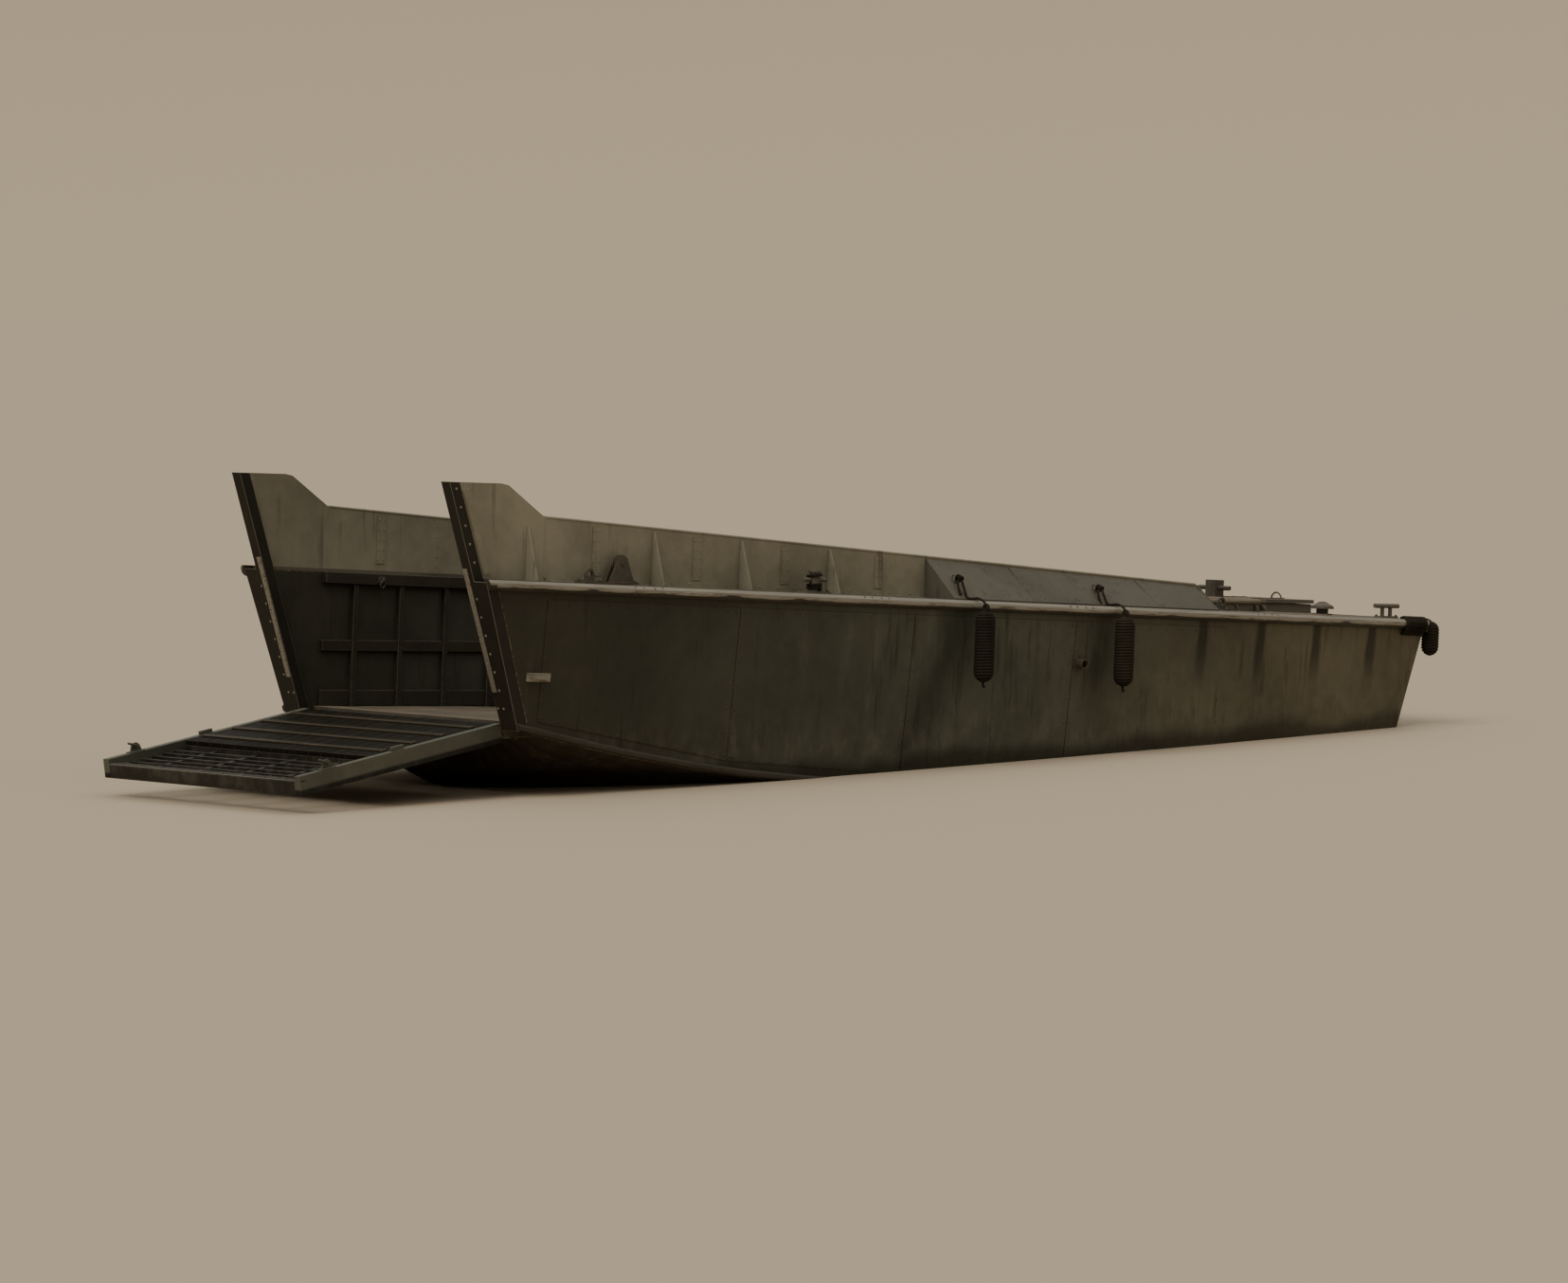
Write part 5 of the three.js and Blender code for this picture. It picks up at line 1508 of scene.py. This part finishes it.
for y in LID_HINGES_AT:
    for x in (0.35, 0.22, 0.09):
        dome(lid_straps, (hinge_at.x - x, y, LID_TOP + 0.006), UP, 0.008)
finish_piece(lid_straps, "hatch_lid_straps", fittings_paint, "fittings", "stern_hatch_lid")
finish_piece(deck_leaves, "hatch_deck_leaves", fittings_paint, "fittings")

CAPS_AT, VENTS_AT = (-3.12, 0.2), (-4.62, 1.02)  # x, and how far from the middle line
VENT_STACK = (  # from and to over the deck, radius, sides, tip radius
    (-0.002, 0.01, 0.085, 24, 0.085), (0.0, 0.07, 0.05, 20, 0.05), (0.05, 0.072, 0.098, 28, 0.092),
    (0.072, 0.098, 0.092, 28, 0.045),
)
caps, vents = bmesh.new(), bmesh.new()
for side in HANDED:
    at = deck_at(CAPS_AT[0], side * CAPS_AT[1])[0]
    bar(caps, at - 0.002 * UP, at + 0.006 * UP, 0.062, 24)
    bar(caps, at + 0.004 * UP, at + 0.016 * UP, 0.044, 24)
    block(caps, at + Vector((-0.034, -0.006, 0.014)), at + Vector((0.034, 0.006, 0.026)))
    for a, b in circle(0.053, 6):
        dome(caps, at + Vector((a, b, 0.006)), UP, 0.005, 0.4, 6)
    at = deck_at(VENTS_AT[0], side * VENTS_AT[1])[0]
    for low, high, radius, sides, tip in VENT_STACK:
        bar(vents, at + low * UP, at + high * UP, radius, sides, tip)
    dome(vents, at + 0.098 * UP, UP, 0.045, 0.25, 20)
soften(caps, 0.0015, 1)
finish_piece(caps, "filler_caps", bronze, "bronze")
soften(vents, 0.003)
finish_piece(vents, "deck_vents", fittings_paint, "fittings")
print("afterdeck: two cockpit rims, hatch hinges at", [round(v, 3) for v in hinge_at])

# %% [markdown]
# ## The engine
# Under the two covers sits a six-cylinder diesel. It is seen only when a cover is up, but then from a
# metre away, so it is built from its real parts: crankcase, doors, head, rocker cover, blower, exhaust
# manifold, header tank, generator and gearbox. Blocks and bars get wide bevels, as castings have.

# %% Castings
CYLINDERS_AT = steps(-2.10, -1.30, 6)
CRANK_Z, GEARBOX_Z = -0.10, -0.14
CAST_BLOCKS = (
    ((-2.20, -0.17, -0.36), (-1.20, 0.17, 0.12)),  # crankcase
    ((-2.12, -0.12, -0.41), (-1.32, 0.12, -0.34)),  # oil pan
    ((-2.19, -0.14, 0.10), (-1.21, 0.14, 0.44)),  # cylinder block and head
    ((-2.15, -0.10, 0.43), (-1.25, 0.10, 0.53)),  # rocker cover
    ((-2.02, 0.13, 0.14), (-1.38, 0.31, 0.39)),  # blower
    ((-1.21, -0.15, -0.30), (-1.13, 0.15, 0.36)),  # timing case
)
CAST_BARS = (  # from, to, and the radius at each end
    ((-2.19, 0, CRANK_Z), (-2.29, 0, CRANK_Z), 0.28, 0.28),  # flywheel housing
    ((-2.28, 0, CRANK_Z), (-2.48, 0, GEARBOX_Z), 0.19, 0.10),  # gearbox
    ((-2.47, 0, GEARBOX_Z), (-2.535, 0, GEARBOX_Z - 0.01), 0.085, 0.085),  # coupling
    ((-2.02, 0.22, 0.47), (-1.46, 0.22, 0.47), 0.075, 0.075),  # air cleaner
    ((-2.16, -0.235, 0.33), (-1.26, -0.235, 0.33), 0.052, 0.052),  # exhaust manifold
    ((-1.115, -0.25, 0.56), (-1.115, 0.25, 0.56), 0.085, 0.085),  # header tank
    ((-1.115, 0.1, 0.62), (-1.115, 0.1, 0.70), 0.03, 0.03),  # its filler
    ((-1.42, -0.26, 0.08), (-1.15, -0.26, 0.08), 0.068, 0.068),  # generator
    ((-1.13, 0, -0.20), (-1.06, 0, -0.20), 0.105, 0.105),  # pulleys of the crank, the pump and the generator
    ((-1.13, 0.10, 0.14), (-1.06, 0.10, 0.14), 0.065, 0.065),
    ((-1.15, -0.26, 0.08), (-1.06, -0.26, 0.08), 0.045, 0.045),
)


def castings(bm):
    for corner, opposite in CAST_BLOCKS:
        block(bm, corner, opposite)
    for x in CYLINDERS_AT:
        block(bm, (x - 0.058, -0.185, -0.24), (x + 0.058, 0.185, -0.02))
    soften(bm, 0.014, 3)
    for start_at, end_at, radius, end_radius in CAST_BARS:
        part = bmesh.new()
        bar(part, start_at, end_at, radius, 24, end_radius)
        soften(part, 0.008, 2, 60)
        copy_into(bm, part)
    for x in CYLINDERS_AT:
        bar(bm, (x, -0.13, 0.33), (x, -0.2, 0.33), 0.03, 12)
    for x in (-1.50, -1.36):
        bar(bm, (x, 0.25, -0.12), (x, 0.25, 0.09), 0.046, 18)
        dome(bm, (x, 0.25, 0.09), UP, 0.046, 0.4, 18)


engine = bmesh.new()
castings(engine)

# %% Bolts, pipes and belt
for x in CYLINDERS_AT:
    for side in HANDED:
        for dx, z in ((-0.045, -0.22), (0.045, -0.22), (-0.045, -0.04), (0.045, -0.04)):
            hex_nut(engine, (x + dx, side * 0.184, z), (0, side, 0), 0.009, 0.007)
        hex_nut(engine, (x + 0.07, side * 0.139, 0.40), (0, side, 0), 0.009, 0.007)
    bar(engine, (x, 0.0, 0.525), (x, 0.0, 0.548), 0.017, 12)
for x in (-1.9, -1.5):
    hoop(engine, (x, 0.0, 0.565), PORT, 0.024, 0.006, 16, 6)
for a, b in circle(0.255, 12):
    hex_nut(engine, (-2.19, a, CRANK_Z + b), AHEAD, 0.011)
PIPES = (  # radius, and the way it runs: exhaust, two for coolant, two for fuel, oil
    (0.036, ((-2.16, -0.235, 0.33), (-2.28, -0.25, 0.32), (-2.38, -0.27, 0.2), (-2.40, -0.27, -0.02),
             (-2.45, -0.27, -0.16))),
    (0.024, ((-1.115, 0.17, 0.48), (-1.16, 0.2, 0.40), (-1.17, 0.19, 0.25), (-1.14, 0.13, 0.18))),
    (0.022, ((-1.115, -0.17, 0.48), (-1.17, -0.19, 0.44), (-1.22, -0.21, 0.37))),
    (0.007, ((-1.5, 0.25, 0.11), (-1.5, 0.27, 0.16), (-1.62, 0.325, 0.2), (-1.9, 0.325, 0.22), (-2.05, 0.2, 0.3),
             (-2.1, 0.14, 0.38))),
    (0.006, ((-1.36, 0.25, 0.11), (-1.3, 0.24, 0.2), (-1.3, 0.17, 0.36), (-1.36, 0.14, 0.42))),
    (0.009, ((-2.05, -0.14, 0.2), (-2.1, -0.2, 0.16), (-2.2, -0.22, 0.18), (-2.3, -0.15, 0.22), (-2.4, -0.05, 0.08))),
)
for radius, points in PIPES:
    push_along(engine, circle(radius), curved(points, 0.025))
BELT_X, BELT_SECTION = -1.09, ((-0.006, -0.012), (0.006, -0.012), (0.006, 0.012), (-0.006, 0.012))
BELT = (  # across and up, once round the pulleys
    (0.075, 0.195), (0.158, 0.12), (0.09, -0.13), (0.09, -0.26), (0.0, -0.306), (-0.095, -0.24), (-0.2, 0.0),
    (-0.307, 0.07), (-0.27, 0.128), (-0.1, 0.165), (0.075, 0.195),
)
push_along(engine, BELT_SECTION, curved([(BELT_X, y, z) for y, z in BELT], 0.03))
finish_piece(engine, "diesel_engine", engine_enamel, "machinery", replaces=("engine",))

beds = bmesh.new()
for side in HANDED:
    block(beds, (-2.52, side * 0.245, -0.4195), (-1.03, side * 0.335, -0.27))
    for x in (-2.34, -1.32):
        block(beds, (x - 0.05, side * 0.16, -0.27), (x + 0.05, side * 0.335, -0.245))
soften(beds, 0.006)
finish_piece(beds, "engine_beds", inside_paint, "hull_paint")
print("engine:", len(CYLINDERS_AT), "cylinders,", len(PIPES), "pipes")

# %% [markdown]
# ## The engine case and its covers
# The case breathes through louvres: thin slats in a frame, each one a block turned by forty degrees.
# The covers turn outwards on long strap hinges. The straps, a stiffening bead and the battens below
# ride on their own cover, so that they lift with it.

# %% Louvres
CASE_SIDE, CASE_ENDS, LOUVRES_AT = 0.57, (-2.74, -0.79), (-2.36, -1.765, -1.17)
LOUVRE_FRAME = (  # ends of each bar along the case, and its lower and upper edge
    (-0.21, 0.21, 0.44, 0.462), (-0.21, 0.21, 0.718, 0.74), (-0.21, -0.188, 0.46, 0.72), (0.188, 0.21, 0.46, 0.72),
)


def engine_louvres(bm):
    slats = bmesh.new()
    for x in LOUVRES_AT:
        for aft, fore, low, high in LOUVRE_FRAME:
            block(bm, (x + aft, CASE_SIDE - 0.001, low), (x + fore, CASE_SIDE + 0.014, high))
        for z in fill(0.485, 0.695, 0.03):
            turn = Matrix.Translation((x, CASE_SIDE + 0.007, z)) @ Matrix.Rotation(math.radians(-40), 4, "X")
            block(slats, (-0.19, -0.012, -0.0018), (0.19, 0.012, 0.0018), turn)
        for dx in (-0.199, 0.199):
            for z in (0.451, 0.59, 0.729):
                dome(bm, (x + dx, CASE_SIDE + 0.013, z), PORT, 0.006, 0.5, 6)
    soften(bm, 0.0015, 1)
    copy_into(bm, slats)
    for end, out in zip(CASE_ENDS, (-1, 1)):
        block(bm, (end - out * 0.001, CASE_SIDE - 0.04, 0.001), (end + out * 0.012, CASE_SIDE + 0.012, 0.878))


both_sides(engine_louvres, fittings_paint, "fittings")

# %% Cover straps and battens
COVER_TOP, COVER_UNDER = 0.921, 0.886
STRAPS_AT = (-2.52, -1.765, -1.01)


def cover_straps(bm):
    for x in STRAPS_AT:
        block(bm, (x - 0.024, 0.17, COVER_TOP - 0.001), (x + 0.024, 0.576, COVER_TOP + 0.006))
    block(bm, (-2.745, 0.006, COVER_TOP - 0.001), (-0.785, 0.03, COVER_TOP + 0.012))
    for x in (-2.2, -1.33):
        block(bm, (x - 0.05, 0.05, COVER_TOP - 0.001), (x + 0.05, 0.11, COVER_TOP + 0.005))
    soften(bm, 0.0015, 1)
    for x in STRAPS_AT:
        bar(bm, (x - 0.03, 0.572, COVER_TOP + 0.002), (x + 0.03, 0.572, COVER_TOP + 0.002), 0.008, 10)
        for y in (0.2, 0.29, 0.38, 0.47):
            dome(bm, (x, y, COVER_TOP + 0.006), UP, 0.008)


def cover_battens(bm):
    for x in (-2.5, -1.765, -1.03):
        block(bm, (x - 0.03, 0.06, COVER_UNDER - 0.02), (x + 0.03, 0.515, COVER_UNDER + 0.001))
    soften(bm, 0.003, 2)


for side in SIDES:
    one_side(side, cover_straps, fittings_paint, "fittings", f"engine_cover_{side}")
    one_side(side, cover_battens, inside_paint, "hull_paint", f"engine_cover_{side}")
print("engine case:", len(LOUVRES_AT), "louvres and", len(STRAPS_AT), "hinges a side")

# %% [markdown]
# ## Wheel, gauges and winch
# The coxswain stands in the port passage, at a sloping panel with four gauges and two levers. The wheel
# is spun again here with a rounder rim, tapering spokes and grips, because it is what people look at.
# The hand winch across the passage gets its gear, its pawl and the cable wound on its drum.

# %% Steering wheel
LEAN = math.radians(28.0)
WHEEL_AT, WHEEL_AXIS = Vector((-1.010, 0.880, 0.985)), Vector((-math.cos(LEAN), 0.0, math.sin(LEAN)))
WHEEL_RADIUS, RIM_RISE = 0.215, 0.008 * UP
wheel_put = facing(WHEEL_AXIS, WHEEL_AT)
wheel = bmesh.new()
hoop(wheel, wheel_put @ RIM_RISE, WHEEL_AXIS, WHEEL_RADIUS, 0.0145, 56, 12)
for a, b in circle(WHEEL_RADIUS - 0.012, 16):
    dome(wheel, wheel_put @ Vector((a, b, 0.0)), -WHEEL_AXIS, 0.012, 0.8, 8)
for a, b in circle(1.0, 4, math.pi / 4):
    way = Vector((a, b, 0.0))
    bar(wheel, wheel_put @ (0.02 * way), wheel_put @ (WHEEL_RADIUS * way + RIM_RISE), 0.012, 12, 0.008)
    dome(wheel, wheel_put @ (0.024 * way + 0.026 * UP), WHEEL_AXIS, 0.005, 0.5, 6)
for low, high, radius, tip in ((-0.024, 0.026, 0.034, 0.034), (0.026, 0.036, 0.022, 0.018)):
    bar(wheel, wheel_put @ (low * UP), wheel_put @ (high * UP), radius, 24, tip)
hex_nut(wheel, wheel_put @ (0.034 * UP), WHEEL_AXIS, 0.013, 0.006)
finish_piece(wheel, "wheel_rim_and_spokes", fittings_paint, "fittings", "steering_wheel", ("steering_wheel",))

# %% Gauges and lever gate
PANEL_AT, GATE_AT = Vector((-0.8575, 0.98, 0.85)), Vector((-0.8575, 0.75, 0.85))
PANEL_UP = Vector((-0.1, 0.0, 0.135)).normalized()
panel_put = facing(PANEL_UP, PANEL_AT)
to_panel = panel_put.to_3x3()
gauge_rings, dials = bmesh.new(), bmesh.new()
block(gauge_rings, (-0.07, -0.068, -0.001), (0.07, 0.068, 0.004), panel_put)
block(gauge_rings, (-0.05, -0.03, -0.001), (0.05, 0.03, 0.004), facing(PANEL_UP, GATE_AT))
soften(gauge_rings, 0.0015, 1)
for across in (-0.034, 0.034):
    for along in (-0.034, 0.034):
        at = panel_put @ Vector((across, along, 0.0))
        hoop(gauge_rings, at + PANEL_UP * 0.006, PANEL_UP, 0.027, 0.004, 24, 6)
        bar(dials, at + PANEL_UP * 0.003, at + PANEL_UP * 0.0055, 0.0255, 24)
        for k in range(9):
            turn = math.radians(-135 + 30 * k)
            way = to_panel @ Vector((math.sin(turn), math.cos(turn), 0.0))
            bar(gauge_rings, at + way * 0.018 + PANEL_UP * 0.006, at + way * 0.022 + PANEL_UP * 0.006, 0.0007, 4)
        needle = to_panel @ Vector((math.sin(across * 60), math.cos(along * 40), 0.0))
        bar(gauge_rings, at + PANEL_UP * 0.0065, at + needle.normalized() * 0.018 + PANEL_UP * 0.0065, 0.0011, 5)
dial_enamel = painted(
    "dial enamel", (0.3, 0.27, 0.2), (0.42, 0.38, 0.29), size=0.05, chips=0.1, runs=0.1, chalk=0.0, rough=0.35,
)
finish_piece(gauge_rings, "gauge_panel", fittings_paint, "machinery")
finish_piece(dials, "gauge_dials", dial_enamel, "machinery")

# %% Winch gear and cable
WINCH_AT = Vector((-0.88, -0.90, 0.64))
WINCH_CABLE, WRAP_RADIUS, WRAP_HALF = 0.0055, 0.0675, 0.092  # its radius, and the coil's radius and half length
GEAR_TEETH, GEAR_RADIUS = 40, 0.125
gear, drum_cable = bmesh.new(), bmesh.new()
gear_at = WINCH_AT - 0.152 * PORT
bar(gear, gear_at - 0.012 * PORT, gear_at + 0.012 * PORT, GEAR_RADIUS, 40)
bar(gear, gear_at - 0.025 * PORT, gear_at + 0.014 * PORT, 0.03, 18)
for k in range(GEAR_TEETH):
    turn = Matrix.Translation(gear_at) @ Matrix.Rotation(2 * math.pi * k / GEAR_TEETH, 4, "Y")
    block(gear, (GEAR_RADIUS - 0.002, -0.011, -0.0045), (GEAR_RADIUS + 0.009, 0.011, 0.0045), turn)
pinion_at = gear_at + Vector((-0.02, 0, 0.152))
bar(gear, pinion_at - 0.02 * PORT, pinion_at + 0.03 * PORT, 0.022, 14)
bar(gear, pinion_at, gear_at + Vector((0.04, 0.0, GEAR_RADIUS + 0.008)), 0.008, 8)
finish_piece(gear, "winch_gear", fittings_paint, "fittings")
turns, per_turn = 15, 18
wraps = []
for k in range(turns * per_turn):
    a, b = polar(WRAP_RADIUS, 2 * math.pi * k / per_turn)
    wraps.append(WINCH_AT + Vector((a, WRAP_HALF * (2 * k / (turns * per_turn) - 1), b)))
push_along(drum_cable, circle(WINCH_CABLE, 6), wraps)
finish_piece(drum_cable, "winch_drum_cable", bright_strip, "fittings")
print("winch:", GEAR_TEETH, "teeth and", turns, "turns of cable")

# %% [markdown]
# ## Bolts through every foot plate
# Whatever stands on the deck is bolted through it. Each bolt head is set by a ray cast down onto the
# foot plate, so it sits on the plate whatever the deck's slope. The splash plates are bolted along their
# feet and their heads, with straps over their butts.

# %% Foot bolts
FEET = (  # what stands there, its middle, and how far the bolts lie from it
    ("lifting_eye_forward_port", 4.02, 1.31, 0.068, 0.036), ("lifting_eye_aft_port", -3.0, 1.33, 0.068, 0.036),
    ("side_deck_port", 1.75, 1.40, 0.105, 0.04), ("afterdeck", -5.19, 1.23, 0.092, 0.028),
    ("ramp_sheave_port", 3.685, 1.29, 0.122, 0.038),
)
WING_KNEE_AT = 4.567
OUTLET_AT = (-1.07, 0.48)  # x and height of the cooling water outlet
SPLASH_ENDS, SPLASH_BUTTS = (-2.76, 0.30), (-0.62, -2.1)


def foot_bolts(bm):
    for node, x, y, dx, dy in FEET:
        for a, b in ((dx, dy), (dx, -dy), (-dx, dy), (-dx, -dy)):
            at, normal = on_top(node, x + a, y + b)
            hex_nut(bm, at - normal * 0.001, normal, 0.0115, 0.009)
            bar(bm, at, at + normal * 0.013, 0.0055, 8)
    for x in (WING_KNEE_AT, *KNEES_AT):
        for y in (1.27, 1.32):
            at, normal = on_top("side_deck_port", x + 0.03, y)
            dome(bm, at, normal, 0.008)


both_sides(foot_bolts, fittings_paint, "fittings")


def splash_point(x, share):
    """A point on the slope of the splash plate, and its normal."""
    points = section("splash_plate_port", x)
    foot = max(points, key=lambda point: point.y).copy()
    head = max(points, key=lambda point: point.z)
    foot.z += 0.004
    return on_top("splash_plate_port", x, foot.lerp(head, share).y)


def splash_bolts(bm):
    for x in fill(*SPLASH_ENDS, 0.2):
        for share in (0.1, 0.92):
            stud(bm, splash_point(x, share), 0.0095)
    for x in SPLASH_BUTTS:
        low, up = splash_point(x, 0.05)
        high = splash_point(x, 0.95)[0]
        put = facing(up, (low + high) / 2)
        across = put.to_3x3().inverted() @ (high - low)
        turn = put @ Matrix.Rotation(math.atan2(across.y, across.x), 4, "Z")
        half = across.length / 2
        strap = bmesh.new()
        block(strap, (-half, -0.04, -0.003), (half, 0.04, 0.006), turn)
        soften(strap, 0.0015, 1)
        copy_into(bm, strap)
        for along in fill(-half + 0.03, half - 0.03, 0.08):
            for off in (-0.022, 0.022):
                dome(bm, turn @ Vector((along, off, 0.006)), up, 0.008)


both_sides(splash_bolts, splash_paint, "armour_paint")
bitt_bolts = bmesh.new()
for a in (-0.085, 0.085):
    for b in (-0.085, 0.085):
        at, normal = on_top("towing_bitt", -4.42 + a, b)
        hex_nut(bitt_bolts, at, normal, 0.012, 0.01)
for a, b in circle(0.055, 6, 0.5):
    at, normal = on_wall("cooling_outlet", OUTLET_AT[0] + a, OUTLET_AT[1] + b)
    hex_nut(bitt_bolts, at, normal, 0.008, 0.006)
finish_piece(bitt_bolts, "bitt_and_outlet_bolts", fittings_paint, "fittings")
print("feet bolted:", len(FEET), "a side")

# %% [markdown]
# ## The stern
# The transom carries an exhaust ring, two towing eyes and its own guard, whose bolts show. A length of
# old rope is wound round each end of the sheer guard, where the quarter rubs against the ship's side.
# Under water, zinc blocks on the skeg keep the bronze from eating the steel.

# %% Transom, quarters and zincs
stern = bmesh.new()
for y in (-0.95, 0.95):
    at, normal = on_stern("transom", y, 0.42)
    put = facing(normal, at)
    block(stern, (-0.06, -0.06, -0.002), (0.06, 0.06, 0.012), put)
    soften(stern, 0.003)
    for a in (-0.042, 0.042):
        for b in (-0.042, 0.042):
            hex_nut(stern, put @ Vector((a, b, 0.012)), normal, 0.009, 0.007)
    hoop(stern, at + normal * 0.03, (0, 1, 0), 0.028, 0.009, 20, 8)
exhaust, normal = on_stern("transom", -0.5, 0.52)
bar(stern, exhaust - normal * 0.002, exhaust + normal * 0.012, 0.085, 28)
hoop(stern, exhaust + normal * 0.014, normal, 0.055, 0.012, 28, 8)
for a, b in circle(0.073, 8):
    hex_nut(stern, facing(normal, exhaust) @ Vector((a, b, 0.012)), normal, 0.007, 0.006)
for y in fill(-1.36, 1.36, 0.27):
    stud(stern, on_stern("stern_guard", y, 0.80), 0.011)
finish_piece(stern, "stern_fittings", fittings_paint, "fittings")

QUARTER_ENDS, QUARTER_ROPE = (-5.43, -5.17), 0.014


def quarter_rope(bm):
    """Rope over the guard's end, an open loop for each turn, and a small fender hung from it."""
    for x in fill(*QUARTER_ENDS, QUARTER_ROPE * 1.9):
        edge, out = deck_edge_aft(x), rail(x)
        top = deck_at(x, edge - 0.05)[0].z
        path = [(x, edge - 0.02, top + 0.006), (x, edge + 0.02, top + 0.012), (x, out.y + 0.004, out.z + 0.034),
                (x, out.y + 0.016, out.z), (x, out.y - 0.004, out.z - 0.034), (x, edge + 0.012, top - 0.118),
                (x, edge - 0.012, top - 0.124)]
        push_along(bm, three_strands(QUARTER_ROPE), curved(path, 0.012), LONG_LAY)
    aft, guard = QUARTER_ENDS[0], rail(QUARTER_ENDS[0])
    middle = Vector((aft - 0.125, guard.y - 0.045, guard.z - 0.115))
    fender_coat(bm, middle, 0.075, 0.29)
    hung = [middle + 0.14 * UP, middle + Vector((0.03, -0.004, 0.155)), (aft + 0.01, middle.y, guard.z + 0.05)]
    push_along(bm, three_strands(LANYARD), curved(hung, 0.01), ROPE_LAY)


both_sides(quarter_rope, rope_finish, "rope")


def lashing_height(turns):
    """Height of the rope's middle over the deck: below the crossbar, past it, then above it."""
    if turns < 2.6:
        return 0.0255 + 0.0213 * (turns - 0.25)
    return 0.0755 + 0.185 * (turns - 2.6) if turns < 2.9 else 0.131 + 0.02 * (turns - 2.9)


def mooring_turns(bm):
    """A mooring line made fast with tight turns round the post on the side deck."""
    x, y = FEET[2][1:3]
    deck = deck_at(x, y + 0.1)[0].z
    path = []
    for turns in steps(0.25, 3.7, 40):
        a, b = polar(0.053, 2 * math.pi * turns)
        path.append((x + a, y + b, deck + lashing_height(turns)))
    push_along(bm, three_strands(LANYARD), curved(path, 0.012), LONG_LAY)


both_sides(mooring_turns, rope_finish, "rope")
ZINCS_AT, ZINC_Z = (-2.2, -1.2), -0.95
zincs = bmesh.new()
for side in HANDED:
    for x in ZINCS_AT:
        block(zincs, (x - 0.14, side * 0.075, ZINC_Z - 0.04), (x + 0.14, side * 0.097, ZINC_Z + 0.04))
soften(zincs, 0.006)
for side in HANDED:
    for x in ZINCS_AT:
        for off in (-0.08, 0.08):
            hex_nut(zincs, (x + off, side * 0.096, ZINC_Z), (0, side, 0), 0.012, 0.008)
finish_piece(zincs, "zinc_blocks", underwater_steel, "underwater_steel")
print("stern: quarters wound over", round(QUARTER_ENDS[1] - QUARTER_ENDS[0], 2), "m")

# %% [markdown]
# ## Floor and light
# The floor is where the water was: at height zero, so it hides what lies under water from above. It is
# a wide shallow bowl, a profile spun once round, because a flat floor would end in a hard horizon. Three
# suns with very wide discs give soft shadows as an overcast sky does, brightest ahead of the craft.

# %% Floor
FLAT_RADIUS, CURVE_RADIUS, CURVE_STEPS = 170.0, 50.0, 12
floor_bm = bmesh.new()
profile = [floor_bm.verts.new((0.0, 0.0, 0.0)), floor_bm.verts.new((FLAT_RADIUS, 0.0, 0.0))]
for k in range(1, CURVE_STEPS + 1):
    turn = math.pi / 2 * k / CURVE_STEPS
    profile.append(floor_bm.verts.new((
        FLAT_RADIUS + CURVE_RADIUS * math.sin(turn), 0.0, CURVE_RADIUS * (1 - math.cos(turn)))))
outline = [floor_bm.edges.new(pair) for pair in zip(profile, profile[1:])]
bmesh.ops.spin(
    floor_bm, geom=profile + outline, cent=(0, 0, 0), axis=(0, 0, 1), angle=2 * math.pi, steps=96, use_merge=True,
)
bmesh.ops.remove_doubles(floor_bm, verts=floor_bm.verts, dist=1e-4)
bmesh.ops.recalc_face_normals(floor_bm, faces=floor_bm.faces)
for face in floor_bm.faces:
    face.smooth = True

pale = bpy.data.materials.new("pale floor")
pale.use_nodes = True
feed(pale.node_tree.nodes["Principled BSDF"], {"Base Color": (0.39, 0.325, 0.235), "Roughness": 0.9})
floor_mesh = bpy.data.meshes.new("floor")
floor_bm.to_mesh(floor_mesh)
floor_bm.free()
floor_mesh.materials.append(pale)
floor = bpy.data.objects.new("floor", floor_mesh)
bpy.context.scene.collection.objects.link(floor)


# %% Light
def soft_sun(name, azimuth, elevation, strength, spread, colour):
    """A sun in a direction given in degrees, azimuth from the bow towards port."""
    light = bpy.data.lights.new(name, "SUN")
    light.energy = strength
    light.angle = math.radians(spread)
    light.color = colour
    lamp = bpy.data.objects.new(name, light)
    up, round_to = math.radians(elevation), math.radians(azimuth)
    towards = Vector((math.cos(up) * math.cos(round_to), math.cos(up) * math.sin(round_to), math.sin(up)))
    lamp.rotation_euler = towards.to_track_quat("Z", "Y").to_euler()
    bpy.context.scene.collection.objects.link(lamp)


soft_sun("sky ahead", 5, 52, 1.9, 38, (1.0, 0.95, 0.86))
soft_sun("sky to port", 115, 60, 0.7, 60, (1.0, 0.96, 0.9))
soft_sun("sky to starboard", -125, 58, 0.5, 60, (0.95, 0.97, 1.0))
world = bpy.data.worlds.new("studio")
world.use_nodes = True
feed(world.node_tree.nodes["Background"], {"Color": (0.80, 0.74, 0.64), "Strength": 0.55})
bpy.context.scene.world = world
